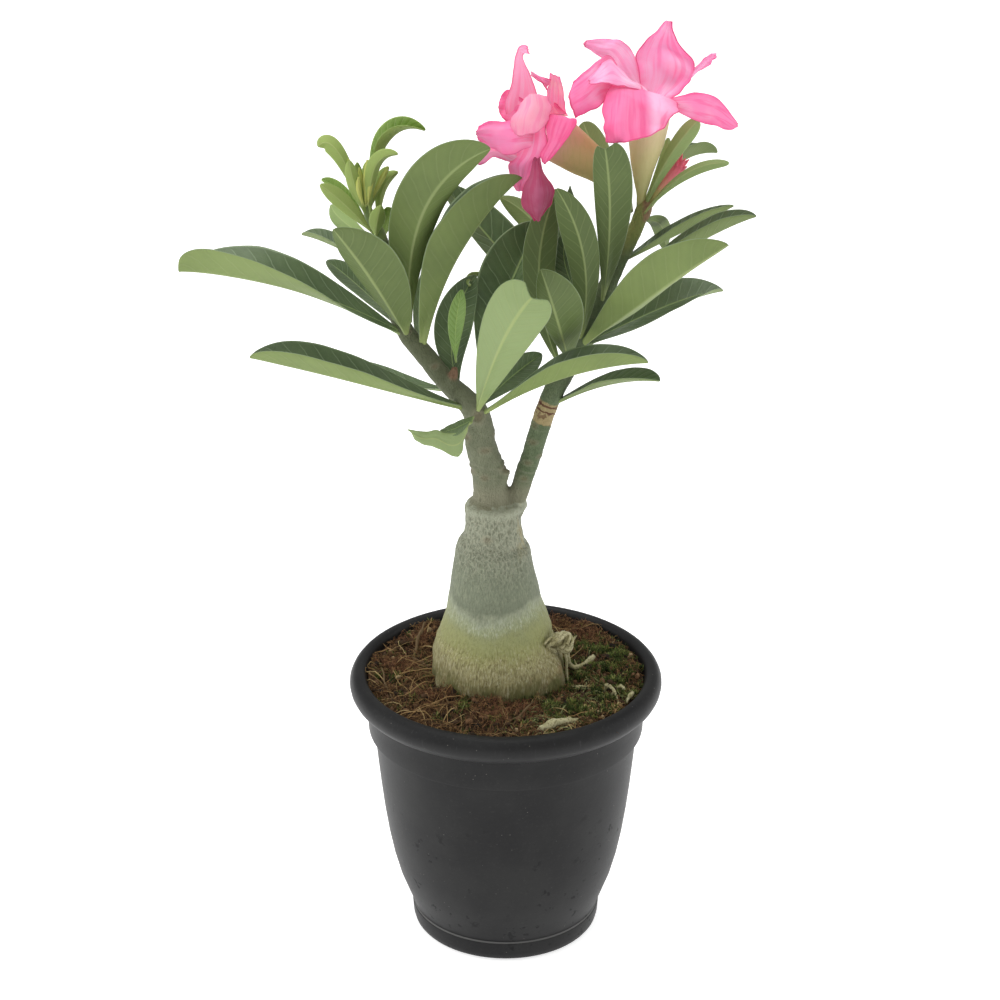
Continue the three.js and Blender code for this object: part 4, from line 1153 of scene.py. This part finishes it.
def foot_bark(paint, here, x, z):
    """Colour of the swollen foot, and masks of its cracks and ridges."""
    tall = paint.place((1, 1, 0.28))
    drift = paint.noise(here, 0.055, 3)
    height = z + (drift - 0.5) * 16 + (paint.noise(tall, 0.4, 3) - 0.5) * 5 - abs(x + 5) * 0.1
    colour = paint.ramp((height - 110) / 130, FOOT_BANDS)
    # upright cracks, coarse near the soil and fine further up
    coarse = paint.noise(tall, 0.95, 4, 0.65, 0.6)
    fine = paint.noise(paint.place((1, 1, 0.4)), 1.25, 3, 0.6, 0.8)
    low, upper = paint.fade(height, 166, 150), paint.fade(z, 186, 206)
    crack = paint.fade(coarse, 0.47, 0.36) * low + paint.fade(fine, 0.48, 0.38) * (0.35 + upper * 0.65)
    ridge = paint.fade(coarse, 0.55, 0.66) * low + paint.fade(fine, 0.54, 0.64) * (0.3 + upper * 0.5)
    crack_colour = paint.mix(low, [0.1, 0.095, 0.05], [0.15, 0.115, 0.045])
    ridge_colour = paint.mix(low, [0.46, 0.45, 0.32], [0.54, 0.48, 0.27])
    colour = paint.mix(crack * (0.55 - low * 0.1), colour, crack_colour)
    colour = paint.mix(ridge * (0.4 + low * 0.2), colour, ridge_colour)
    # long wisps, strongest near the soil and on the pale band over it
    wisp = paint.noise(paint.place((1, 1, 0.13)), 1.4, 3, 0.6, 0.5)
    colour = paint.mix(low * paint.fade(wisp, 0.53, 0.64) * 0.65, colour, [0.58, 0.54, 0.35])
    colour = paint.mix(low * paint.fade(wisp, 0.47, 0.36) * 0.6, colour, [0.17, 0.145, 0.06])
    shine = paint.fade(height, 166, 171) * paint.fade(height, 178, 173)
    colour = paint.mix(shine * paint.fade(wisp, 0.5, 0.62) * 0.5, colour, [0.5, 0.52, 0.4])
    colour = paint.mix(shine * paint.fade(wisp, 0.5, 0.42) * 0.45, colour, [0.25, 0.28, 0.17])
    # rust and moss from the soil, and a tan streak on the right
    rust = paint.fade(paint.noise(here, 0.09, 2), 0.54, 0.66) * paint.fade(z, 158, 144)
    colour = paint.mix(rust * paint.fade(x, -6, 8) * 0.5, colour, [0.22, 0.11, 0.04])
    moss = paint.fade(paint.noise(here, 0.12, 4), 0.4, 0.56)
    moss = moss * paint.fade(z + paint.noise(here, 0.08, 3) * 12, 156, 145)
    colour = paint.mix(moss * 0.7, colour, [0.12, 0.13, 0.035])
    tan = paint.fade(paint.noise(paint.place((1, 1, 0.5)), 0.2, 3), 0.5, 0.62)
    tan = tan * paint.fade(abs(x - 9), 5, 1.5) * paint.fade(z, 200, 210)
    colour = paint.mix(tan * 0.7, colour, [0.4, 0.34, 0.16])
    # the net of pale cells between dark cracks above the dark band
    net = paint.cells(paint.stir(paint.place((1, 1, 0.62)), 0.7, 0.8), 0.5, "DISTANCE_TO_EDGE")
    colour = paint.mix(upper * paint.fade(net, 0.16, 0.5) * 0.75, colour, [0.14, 0.14, 0.085])
    colour = paint.mix(upper * paint.fade(net, 0.12, 0.02) * 0.4, colour, [0.45, 0.45, 0.33])
    grain = paint.noise(paint.place((1, 1, 0.12)), 1.7, 2)
    band = paint.fade(z, 180, 185) * paint.fade(z, 206, 200)
    colour = paint.mix(band * paint.fade(grain, 0.45, 0.65) * 0.5, colour, [0.3, 0.33, 0.22])
    return colour, crack, ridge


def branch_bark(paint, skin, growth, x, z):
    """Colour of the branches: grey on the left one, greener on the right one and towards the tips."""
    colour = paint.mix(skin, [0.13, 0.145, 0.085], [0.22, 0.235, 0.15])
    right_colour = paint.mix(skin, [0.085, 0.125, 0.055], [0.14, 0.175, 0.095])
    colour = paint.mix(paint.fade(x, 3, 8), colour, right_colour)
    colour = paint.mix(paint.fade(growth, 0.52, 0.64) * 0.3, colour, [0.26, 0.26, 0.18])
    colour = paint.mix(paint.fade(z, 242, 232) * 0.75, colour, [0.25, 0.24, 0.16])
    knee = paint.fade(z, 272, 292) * paint.fade(x, -2, -10)
    colour = paint.mix(knee * 0.65, colour, [0.085, 0.1, 0.045])
    return paint.mix(paint.fade(z, 300, 350) * 0.5, colour, [0.12, 0.17, 0.06])


def bark_paint():
    paint = Paint("bark")
    here = paint.place()
    x, y, z = (paint.axis(here, letter) for letter in "XYZ")
    foot, crack, ridge = foot_bark(paint, here, x, z)
    skin = paint.noise(paint.place((1, 1, 0.35)), 0.3, 4, 0.6)
    growth = paint.noise(paint.vector(0, 0, z + x * 0.2), 0.5, 3)
    lip = z + (paint.noise(here, 0.35, 3) - 0.5) * 5
    colour = paint.mix(paint.fade(lip, COLLAR, COLLAR + 1.4), foot, branch_bark(paint, skin, growth, x, z))
    edge = paint.fade(lip, 221, 225.5) * paint.fade(lip, 228.2, 227)
    colour = paint.mix(edge * 0.5, colour, [0.4, 0.42, 0.31])
    # where the bark has come off the right branch
    slant = z + x * 0.35 + (paint.noise(here, 0.5, 2) - 0.5) * 1.6
    peel = paint.fade(x, 8, 10) * paint.fade(slant, 272.4, 273.2) * paint.fade(slant, 284.6, 283.8)
    peel = peel * paint.fade(y, 8, 5)
    colour = paint.mix(peel * 0.95, colour, paint.mix(skin, [0.3, 0.22, 0.1], [0.42, 0.34, 0.17]))
    lines = paint.fade(abs(slant - 282.5), 0.75, 0.35) + paint.fade(abs(slant - 279.6), 0.6, 0.25)
    blot = paint.fade(paint.noise(here, 0.35, 2), 0.56, 0.62)
    colour = paint.mix(peel * (lines + blot * 0.7) * 0.9, colour, [0.1, 0.035, 0.018])
    # scars, the cut stub, and the green and brown ends of the shoots
    scar, ring = paint.attribute("scar"), paint.attribute("ring")
    colour = paint.mix(ring * 0.3, colour, [0.3, 0.28, 0.19])
    colour = paint.mix(scar * (1 - ring) * 0.4, colour, [0.2, 0.14, 0.08])
    stub = paint.fade(paint.distance((-23.6, -6.4, 295.5)), 6, 3)
    colour = paint.mix(stub * 0.6, colour, [0.24, 0.1, 0.06])
    green = paint.fade(z, 344, 358) * paint.fade(x, 40, 50)
    colour = paint.mix(green * 0.8, colour, paint.mix(skin, [0.24, 0.29, 0.07], [0.36, 0.38, 0.12]))
    brown = paint.fade(z + (skin - 0.5) * 4, 361, 364) * paint.fade(x, 61, 63.5)
    colour = paint.mix(brown * 0.75, colour, [0.34, 0.17, 0.12])
    height = ridge * 0.5 - crack * 0.9 + skin * 0.25 + growth * 0.2 - peel * 0.3 - scar * 0.2
    return paint.surface(colour, 0.72 - skin * 0.12, paint.bump(height, 0.7, 0.7), specular_ior_level=0.3)


# ---------------------------------------------------------------- the root that loops out of the trunk

# Stations of the looping root, then of the thin roots that leave it
ROOT_STEM = [
    (20, -9, 156, 1.6), (25, -9, 157, 2.2), (28.6, -7, 152.5, 1.7), (29.9, -4.6, 146, 1.3),
    (31, -2.6, 142, 1.2), (33.3, 1, 138.2, 1.2), (36.3, 4, 137.4, 1.1), (39.3, 6, 138.2, 1.2),
    (41.8, 8, 139.4, 1.5), (43.4, 9, 140.6, 0.9),
]
# The middle of the knot of loops, and how far its loops' own middles are scattered round it
KNOT, KNOT_SCATTER = (26, -10.4, 157.4), (1.6, 1.2, 1.4)
ROOT_ENDS = [
    [(27, -8, 154, 0.8), (29.3, -7.4, 147, 0.7), (29.3, -7.6, 141, 0.7), (30.2, -8, 134, 0.6),
     (31, -8, 127, 0.5)],
    [(33.3, 1, 134.6, 0.9), (34.4, 2.5, 138, 0.5), (33.4, 4, 141, 0.3)],
    [(33.3, 1, 134.4, 1.0), (34, -3, 131, 0.9), (33, -8, 127.5, 0.8)],
    [(30.5, -7, 155, 0.8), (32.4, -4, 155.8, 0.6), (34.4, -3, 157.8, 0.3)],
    [(24, -11, 160, 0.9), (20.6, -14.4, 161.4, 0.7), (18.4, -16.6, 159.6, 0.4)],
    [(39, 6, 134.5, 0.8), (42, 10, 131, 0.7), (47, 14, 128.5, 0.6), (52, 15, 127, 0.4)],
]


def add_side_root():
    draw = random.Random(11)
    pieces = [limb("root_stem", ROOT_STEM, 16, 5)]
    for _ in range(7):
        tilt, spin = draw.uniform(-0.6, 0.6), draw.uniform(0, 6.28)
        wide, tall = draw.uniform(3.2, 5.6), draw.uniform(2.2, 3.8)
        centre = Vector([middle + draw.uniform(-reach, reach) for middle, reach in zip(KNOT, KNOT_SCATTER)])
        loop = []
        for step in range(9):
            angle = spin + 2 * math.pi * step / 9 * 0.86
            x, z = wide * math.cos(angle), tall * math.sin(angle)
            loop.append((centre.x + x, centre.y + 2.2 * math.sin(angle * 2 + tilt) + x * 0.45,
                         centre.z + z - x * 0.35 + tilt * x, draw.uniform(0.8, 1.25)))
        pieces.append(limb("root_loop", loop, 12, 4))
    pieces += [limb("root_end", stations, 12, 5) for stations in ROOT_ENDS]
    root = join(pieces, "side_root_knot")
    roughen(root, 0.3)
    complete(root, ["side_root"], "root", root_paint())


def roughen(piece, reach):
    """Moves each point out or in by up to the reach in millimetres."""
    for vertex in piece.data.vertices:
        vertex.co += vertex.normal * reach * noise.noise(vertex.co / MM * 0.7) * MM


def root_paint():
    paint = Paint("root_wood")
    here = paint.place()
    grain = paint.noise(here, 0.9, 4, 0.65)
    cloud = paint.noise(here, 0.2, 3)
    colour = paint.mix(paint.fade(cloud, 0.35, 0.65), [0.36, 0.33, 0.17], [0.5, 0.47, 0.28])
    colour = paint.mix(paint.fade(grain, 0.5, 0.36) * 0.7, colour, [0.13, 0.1, 0.045])
    return paint.surface(colour, 0.75, paint.bump(grain, 0.6, 0.5), specular_ior_level=0.25)


# ---------------------------------------------------------------- pot

# Radius and height: out from the underside, up the wall, over the rolled rim and down to the floor inside
POT_PROFILE = [
    (38.6, 0.1), (39, 0), (42.2, 0), (43.6, 0.3), (44.9, 1), (45.8, 2.2), (46.4, 4.5), (46.8, 9.8),
    (46.75, 10.4),
    (46.3, 10.8), (46.1, 11.4), (46.5, 12.4), (48.2, 17), (50.6, 23.5), (53, 30), (55.9, 41), (58.2, 53),
    (60.1, 66), (61.6, 79), (63, 93), (64.2, 106), (64.4, 107.2), (65.2, 107.9), (66.3, 108.1), (67, 108.5),
    (67.2, 109.4), (67.5, 116), (67.7, 123.2), (67.9, 124.2), (68.8, 124.6), (70.6, 125.1), (72.6, 126.3),
    (74.4, 128.2), (75.5, 130.3),
    (75.9, 132.4), (75.8, 134.3), (75, 136.2), (73.9, 137.6), (72.4, 138.6), (70.6, 138.95), (69.2, 138.6),
    (68.1, 137.4), (67.6, 135.8), (67, 130), (66.2, 124), (65.4, 110), (62.5, 106), (61.3, 93), (59.9, 79),
    (58.4, 66), (56.5, 53), (54.2, 41), (51.3, 30), (46.5, 17), (44.4, 11.4), (43.4, 6), (42.6, 4.2),
    (41.4, 3.45), (38, 3.4), (0.01, 3.4),
]
UNDERSIDE = [(38.2, 0.4), (37, 1.2), (35.6, 1.6), (16, 1.6), (15, 1.3), (14.2, 0.3), (13.4, 0), (0.01, 0)]
# How many holes the floor has, the radius of the ring they lie on, and each hole's own radius
DRAIN_HOLES, DRAIN_RING, DRAIN_RADIUS = 6, 26, 4


def add_pot():
    pot = turned("pot_shell", UNDERSIDE[::-1] + POT_PROFILE, 160)
    drills = []
    for i in range(DRAIN_HOLES):
        turn = 2 * math.pi * i / DRAIN_HOLES
        bpy.ops.mesh.primitive_cylinder_add(
            vertices=32, radius=DRAIN_RADIUS * MM, depth=8 * MM,
            location=(DRAIN_RING * MM * math.cos(turn), DRAIN_RING * MM * math.sin(turn), 2 * MM))
        drills.append(added("drill"))
        bpy.ops.object.transform_apply(location=True, rotation=True, scale=True)
    drill = join(drills, "drill")
    modify(pot, "BOOLEAN", object=drill, operation="DIFFERENCE", solver="EXACT")
    bpy.data.objects.remove(drill)
    edit(pot, ("dissolve_degenerate", {"threshold": 1e-7}), ("normals_make_consistent", {"inside": False}))
    complete(pot, ["pot"], "pot", pot_paint(), sharp=38)


def pot_paint():
    paint = Paint("pot_plastic")
    here = paint.place()
    x, y, z = (paint.axis(here, letter) for letter in "XYZ")
    cloud = paint.noise(here, 0.03, 4)
    dust = paint.noise(here, 0.6, 4, 0.7)
    speck = paint.cells(here, 0.28)
    colour = paint.mix(paint.fade(cloud, 0.35, 0.65), [0.011, 0.011, 0.0115], [0.017, 0.017, 0.017])
    colour = paint.mix(paint.fade(dust, 0.52, 0.75) * 0.25, colour, [0.04, 0.039, 0.036])
    # dried splashes low on the wall, and pale motes under the rim
    splash = paint.fade(paint.noise(here, 0.2, 3, 0.6), 0.6, 0.68) * paint.fade(z, 100, 60)
    splash = splash * paint.fade(paint.noise(here, 0.05, 2), 0.45, 0.6)
    colour = paint.mix(splash * 0.6, colour, [0.005, 0.005, 0.0055])
    mote = paint.fade(speck, 0.09, 0.03) * paint.fade(paint.noise(here, 0.07, 1), 0.5, 0.62)
    colour = paint.mix(mote * 0.55, colour, [0.2, 0.19, 0.17])
    scuff = paint.fade(paint.noise(paint.place((1, 1, 0.08)), 0.9, 3), 0.6, 0.75) * paint.fade(z, 120, 128)
    colour = paint.mix(scuff * 0.2, colour, [0.1, 0.1, 0.1])
    seam = paint.fade(abs(z - 108.1), 0.5, 0.15) + paint.fade(abs(z - 10.9), 0.5, 0.2)
    colour = paint.mix(seam * 0.8, colour, [0.15, 0.15, 0.145])
    ripple = paint.noise(paint.vector(0, 0, z), 0.25, 3)
    height = dust * 0.25 + cloud * 0.8 + ripple * 0.35 - splash * 0.15 + mote * 0.3
    return paint.surface(colour, 0.4 + dust * 0.12 + splash * 0.15 + scuff * 0.1,
                         paint.bump(height, 0.25, 0.4), specular_ior_level=0.17)


# ---------------------------------------------------------------- soil, fibres, moss and litter

def soil_height(x, y):
    """The height of the soil's top, in millimetres, at a place in the pot."""
    far = math.hypot(x, y)
    bed = 135 + ease(far, 54, 44) + 0.9 * ease(y, -20, 50) - 0.6 * ease(far, 62, 67)
    bed += 1.6 * wobble(x * 0.035, y * 0.035, 2)
    bed += 2.4 * wobble(x * 0.11, y * 0.11, 5)
    bed += 1.3 * wobble(x * 0.3, y * 0.3, 7)
    ragged = 2 + 2.5 * wobble(x * 0.07, y * 0.07, 11)
    return bed + ragged * hump(math.hypot(x - TRUNK_X, y) - 29, 5)


# Radius and height of the soil's underside and side, just inside the pot's wall
SOIL_SIDE = [
    (0.01, 3.9), (38, 3.9), (41, 4), (44, 11.6), (45.9, 17), (51, 30.2), (56.2, 53.2), (59.6, 79.2),
    (62.2, 106.2), (64.9, 110.6), (65.6, 120), (66.4, 127), (66.8, 131),
]


def add_soil():
    """A body that fills the pot, with a top of close rings that are then raised to the soil's height."""
    rings = [(max(66.8 - 1.45 * i, 0.05), 133) for i in range(46)]
    soil = turned("soil_bed", SOIL_SIDE + rings, 180)
    for vertex in soil.data.vertices:
        if vertex.co.z > 0.132:
            x, y = vertex.co.x / MM, vertex.co.y / MM
            vertex.co.z = (soil_height(x, y) - 0.3 - 1.2 * abs(noise.noise(Vector((x, y, 0)) * 0.8))) * MM
    complete(soil, ["soil"], "soil", soil_paint())


def soil_paint():
    paint = Paint("soil")
    here = paint.place()
    grain = paint.noise(here, 0.8, 5, 0.7)
    cloud = paint.noise(here, 0.09, 3)
    colour = paint.mix(paint.fade(grain, 0.35, 0.65), [0.016, 0.01, 0.007], [0.11, 0.062, 0.034])
    colour = paint.mix(paint.fade(cloud, 0.5, 0.62) * 0.5, colour, [0.19, 0.1, 0.048])
    return paint.surface(colour, 0.95, paint.bump(grain, 1, 1), specular_ior_level=0.15)


def free_place(draw):
    """A random place on the soil that isn't under the trunk."""
    while True:
        far, turn = 66 * math.sqrt(draw.random()), draw.uniform(0, 2 * math.pi)
        x, y = far * math.cos(turn), far * math.sin(turn)
        if math.hypot(x - TRUNK_X, y) > 24:
            return x, y


def strands(name, slot, paint, count, seed, length, thick, lift, bend, where, tones, step):
    """Many thin three-sided strands that wander over the soil, where a place's likelihood lets them."""
    draw = random.Random(seed)
    points, faces, tone = [], [], []
    made = 0
    while made < count:
        x, y = free_place(draw)
        if draw.random() > where(x, y):
            continue
        made += 1
        heading, turn = draw.uniform(0, 2 * math.pi), draw.gauss(0, bend)
        size = draw.uniform(*length)
        steps = max(3, int(size / step))
        radius, colour = draw.uniform(*thick), draw.uniform(*tones)
        arch, phase = draw.uniform(*lift), draw.uniform(0, 0.25)
        first = len(points)
        for i in range(steps + 1):
            share = i / steps
            z = soil_height(x, y) + arch * math.sin(math.pi * min(1, share + phase)) - 0.4
            # a strand turns away from the pot's wall and from the trunk
            if math.hypot(x, y) > 65.5 or (math.hypot(x - TRUNK_X, y) < 29.5 and z < 150):
                heading += 1.2
            taper = radius * (1 - 0.55 * abs(2 * share - 1) ** 3)
            across = Vector((-math.sin(heading), math.cos(heading), 0))
            for corner in range(3):
                angle = 2 * math.pi * corner / 3
                point = Vector((x, y, z)) + across * taper * math.cos(angle)
                points.append((point + Vector((0, 0, taper * math.sin(angle)))) * MM)
                tone.append(colour)
            heading += turn + draw.gauss(0, bend * 1.2)
            x += size / steps * math.cos(heading)
            y += size / steps * math.sin(heading)
        for i in range(steps):
            for corner in range(3):
                a, b = first + 3 * i + corner, first + 3 * i + (corner + 1) % 3
                faces.append((a, b, b + 3, a + 3))
        last = first + 3 * steps
        faces += [(first, first + 2, first + 1), (last, last + 1, last + 2)]
    scatter(name, slot, paint, points, faces, tone)


def scatter(name, slot, paint, points, faces, tone):
    """Hands in what lies about on the soil as one piece, with a tone for each of its points."""
    piece = mesh_of(name, points, faces)
    edit(piece, ("normals_make_consistent", {"inside": False}))
    set_attribute(piece, "tone", tone)
    complete(piece, None, slot, paint)


def tone_paint(name, stops):
    """A material whose colour each strand picks with its own tone."""
    paint = Paint(name)
    grain = paint.noise(paint.place(), 1.2, 3)
    colour = paint.ramp(paint.attribute("tone") + (grain - 0.5) * 0.25, stops)
    return paint.surface(colour, 0.85, paint.bump(grain, 0.5, 0.4), specular_ior_level=0.2)


# Patches of moss: place, reach and how thick the moss is; and clumps of rusty fibre: place and reach
MOSS_PATCHES = [
    (46, -12, 20, 1.0), (28, -36, 14, 0.85), (50, 16, 17, 0.8), (-24, -19, 7, 0.9),
    (-15, -35, 6, 0.6), (34, 8, 12, 0.8), (-50, 4, 9, 0.5), (8, -45, 9, 0.35),
]
RUSTY_CLUMPS = [
    (-52, 8, 8), (-6, -41, 9), (8, -38, 7), (-34, -24, 6), (-42, 34, 7), (40, 42, 8), (20, 52, 7),
]


# Each of these says how likely a strand is at a place on the soil, from 0 to 1

def mossy(x, y):
    return max(thick * near(x, y, *spot) for *spot, thick in MOSS_PATCHES) + 0.03


def coir_covered(x, y):
    clump = ease(wobble(x * 0.09, y * 0.09, 21), -0.25, 0.3) * 0.9 + 0.1
    return (1 - 0.6 * mossy(x, y)) * clump


def tufted(x, y):
    return max(near(x, y, *spot) for spot in RUSTY_CLUMPS)


def on_the_left(x, y):
    return 0.15 + 0.85 * ease(x, 10, -20)


def front_right(x, y):
    return ease(x, 4, 20) * ease(y, 0, -25)


def by_the_twigs(x, y):
    return near(x, y, 19, -45, 8) + 0.5 * near(x, y, 44, -20, 10)


def add_fibres():
    coir = tone_paint("coir", [
        (0.0, [0.045, 0.025, 0.012]), (0.3, [0.14, 0.072, 0.034]), (0.6, [0.27, 0.155, 0.066]),
        (0.85, [0.4, 0.26, 0.11]), (1.0, [0.52, 0.4, 0.19])])
    rusty = tone_paint("rusty_fibre", [
        (0.0, [0.06, 0.026, 0.014]), (0.5, [0.19, 0.088, 0.045]), (0.85, [0.34, 0.18, 0.085]),
        (1.0, [0.45, 0.28, 0.13])])
    # count, seed, length, thickness, lift, bend, place, tones and step
    strands("coir_mat", "soil", coir, 2450, 21, (5, 16), (0.08, 0.2), (0, 2.4), 0.55, coir_covered,
            (0, 0.75), 2)
    strands("coir_fuzz", "soil", coir, 3400, 22, (2, 6), (0.07, 0.17), (0.2, 3.2), 0.8, coir_covered,
            (0.05, 0.75), 1.2)
    strands("rusty_clumps", "soil", rusty, 1800, 25, (2, 7), (0.08, 0.18), (0.8, 4.2), 0.7, tufted,
            (0.1, 0.95), 1.3)
    strands("straw", "soil", coir, 130, 23, (14, 38), (0.12, 0.28), (0.5, 4), 0.1, on_the_left, (0.7, 1), 3)
    strands("pale_bits", "soil", coir, 130, 24, (1.5, 6), (0.2, 0.5), (0.2, 1.6), 0.2, front_right,
            (0.8, 1.05), 1.2)


CRUMBS = 2150


def add_crumbs():
    """Small lumps of soil: flattened and dented icosahedrons."""
    draw = random.Random(31)
    bpy.ops.mesh.primitive_ico_sphere_add(subdivisions=1, radius=1)
    pattern = added("crumb")
    corners = [vertex.co.copy() for vertex in pattern.data.vertices]
    sides = [tuple(polygon.vertices) for polygon in pattern.data.polygons]
    bpy.data.objects.remove(pattern)
    points, faces, tone = [], [], []
    for _ in range(CRUMBS):
        x, y = free_place(draw)
        size = 0.35 + 2.2 * draw.random() ** 4
        spin = draw.uniform(0, 6.28)
        turn = Matrix.Rotation(spin, 3, Vector((draw.random(), draw.random(), draw.random() + 0.1)))
        centre = Vector((x, y, soil_height(x, y) + size * 0.1))
        first, colour = len(points), draw.random()
        for corner in corners:
            bent = Vector((corner.x, corner.y * 0.75, corner.z * 0.6)) * size * draw.uniform(0.75, 1.15)
            points.append((centre + turn @ bent) * MM)
            tone.append(colour)
        faces += [tuple(first + i for i in side) for side in sides]
    paint = tone_paint("crumbs", [
        (0.0, [0.01, 0.007, 0.005]), (0.6, [0.07, 0.04, 0.022]), (0.93, [0.18, 0.1, 0.05]),
        (1.0, [0.36, 0.27, 0.15])])
    scatter("crumbs", "soil", paint, points, faces, tone)


MOSS_TUFTS = 1600
LEAVES_PER_TUFT = 7
# The faces of a moss leaf between three corners at its foot, three at its middle and its tip
MOSS_LEAF = (
    (0, 1, 2), (0, 3, 1), (1, 3, 4), (1, 4, 2), (2, 4, 5), (2, 5, 0), (0, 5, 3), (3, 6, 4), (4, 6, 5),
    (5, 6, 3),
)


def moss_leaf_corners(draw, x, y, base, tall):
    """The corners of one leaf that leans out of a tuft."""
    turn, lean = draw.uniform(0, 6.28), draw.uniform(0.2, 1.1)
    way = Vector((math.cos(turn) * lean, math.sin(turn) * lean, 1)).normalized()
    side = way.cross(Vector((0, 0, 1))).normalized() * draw.uniform(0.16, 0.3)
    depth = way.cross(side).normalized() * 0.12
    foot = Vector((x + draw.uniform(-0.9, 0.9), y + draw.uniform(-0.9, 0.9), base - 0.5))
    size = tall * draw.uniform(1.0, 1.9)
    middle = foot + way * size * 0.55
    tip = foot + way * size + Vector((way.x, way.y, -0.3)) * 0.4
    return (foot + side * 0.5, foot - side * 0.5, foot + depth, middle + side, middle - side, middle + depth,
            tip)


def add_moss():
    """Tufts of small pointed moss leaves, and longer sprigs among them."""
    draw = random.Random(41)
    points, faces, tone = [], [], []
    tufts = 0
    while tufts < MOSS_TUFTS:
        x, y = free_place(draw)
        thick = ease(wobble(x * 0.12, y * 0.12, 33), -0.2, 0.25)
        if draw.random() > mossy(x, y) * (0.12 + 0.88 * thick):
            continue
        tufts += 1
        base = soil_height(x, y)
        shade = draw.random() * 0.75 + 0.25 * thick * draw.random()
        tall = draw.uniform(0.7, 1.6) + thick * 0.9
        for _ in range(LEAVES_PER_TUFT):
            first = len(points)
            for spot in moss_leaf_corners(draw, x, y, base, tall):
                points.append(spot * MM)
                tone.append(min(1, max(0, shade + draw.uniform(-0.2, 0.2))))
            faces += [tuple(first + i for i in side) for side in MOSS_LEAF]
    paint = tone_paint("moss", [
        (0.0, [0.016, 0.03, 0.009]), (0.45, [0.07, 0.1, 0.022]), (0.8, [0.19, 0.22, 0.05]),
        (1.0, [0.45, 0.47, 0.17])])
    scatter("moss", "soil", paint, points, faces, tone)
    sprigs = tone_paint("moss_sprigs", [
        (0.0, [0.05, 0.075, 0.018]), (0.5, [0.16, 0.18, 0.06]), (1.0, [0.4, 0.42, 0.2])])
    strands("yellow_sprigs", "soil", sprigs, 110, 44, (4, 10), (0.18, 0.36), (0.3, 2.2), 0.07, by_the_twigs,
            (0.65, 1.1), 1.6)
    strands("moss_sprigs", "soil", sprigs, 340, 43, (2, 7), (0.12, 0.25), (0.3, 2.2), 0.25, mossy,
            (0.1, 0.9), 1.4)


# Each twig's path and its radius: pale ones on the right, and dark ones among the straw on the left
PALE_TWIGS = [
    ([(14, -58.5, 134), (17, -56.5, 136), (20, -55, 136.4), (24, -52, 136.6), (29, -50.5, 136),
      (34, -47, 135)], 1.9),
    ([(18, -55.5, 135.6), (20.5, -53, 137.4), (23.5, -52.5, 137.6), (26, -50, 136.4)], 1.2),
    ([(26, -52, 135), (29.5, -49, 137.2), (32.5, -49.5, 136.2)], 0.9),
    ([(47.5, -19, 136), (48, -23, 140.6), (47.6, -26, 143)], 0.8),
    ([(50, -24, 135), (51.6, -27, 139.6), (52, -30, 141)], 0.7),
    ([(48.4, -10.9, 135.3), (51, -18.1, 136.9), (53.2, -26.1, 135.9), (54.4, -31.2, 134.3)], 0.7),
    ([(52.6, -16.1, 133.8), (55.2, -19.2, 138.5), (56.8, -22.1, 138.7)], 0.9),
    ([(57.6, -28, 134.3), (59.9, -24.1, 136.6), (61.1, -20.1, 135.3)], 1.1),
    ([(31.4, -17.2, 137.7), (36.7, -15.2, 136.3), (42.7, -13.2, 135.9)], 0.6),
]
DARK_TWIGS = [
    ([(-46.5, 27.4, 133.3), (-42.7, 33.5, 138.3), (-40.5, 40.3, 143.3)], 0.8),
    ([(-48.7, 11.7, 133.3), (-44.7, 18.6, 137.3), (-43.7, 25.5, 140.3), (-42.1, 31.4, 143.7)], 0.7),
    ([(-61.6, 13.7, 133.3), (-59.6, -0.3, 136.1), (-58, -12.2, 135.3), (-54.6, -21.1, 133.3)], 0.5),
    ([(-55.6, 21.6, 134.3), (-44.7, 11.6, 137.3), (-35.8, -0.3, 137.1), (-29.8, -11.2, 135.3)], 0.8),
    ([(-33.8, -5.2, 135.3), (-30.8, -20.1, 136.9), (-26.8, -34, 136.3), (-23.8, -43.9, 134.3)], 0.6),
    ([(2, -52.9, 134.3), (7.9, -45, 138.3), (12.9, -39, 140.9)], 0.5),
    ([(-4, -54.8, 134.3), (4.9, -47.9, 136.9), (13.9, -43.9, 135.3)], 0.45),
]


def add_twigs():
    dark = tone_paint("dark_twig", [
        (0.3, [0.06, 0.035, 0.018]), (0.5, [0.15, 0.1, 0.05]), (0.7, [0.24, 0.18, 0.09])])
    draw = random.Random(5)
    pieces = []
    for path, radius in PALE_TWIGS + DARK_TWIGS:
        stations = []
        for i, (x, y, z) in enumerate(path):
            end = 0.55 if i in (0, len(path) - 1) else 1
            stations.append((x, y, z, radius * draw.uniform(0.8, 1.15) * end))
        pieces.append(limb("twig", stations, 12, 5))
    first_dark = len(PALE_TWIGS)
    for name, group, paint in (("pale_twigs", pieces[:first_dark], root_paint()),
                               ("dark_twigs", pieces[first_dark:], dark)):
        twigs = join(group, name)
        roughen(twigs, 0.7)
        set_attribute(twigs, "tone", [0.5] * len(twigs.data.vertices))
        complete(twigs, None, "root", paint)


# ---------------------------------------------------------------- the whole plant

set_up_studio()
add_pot()
add_soil()
add_fibres()
add_crumbs()
add_moss()
add_twigs()
add_trunk()
add_side_root()
green = {kind: (leaf_upper(*upper), leaf_under(*under)) for kind, (upper, under) in LEAF_COLOURS.items()}
add_leaves(green)
add_growing_point(green)
add_flowers()
add_bud()
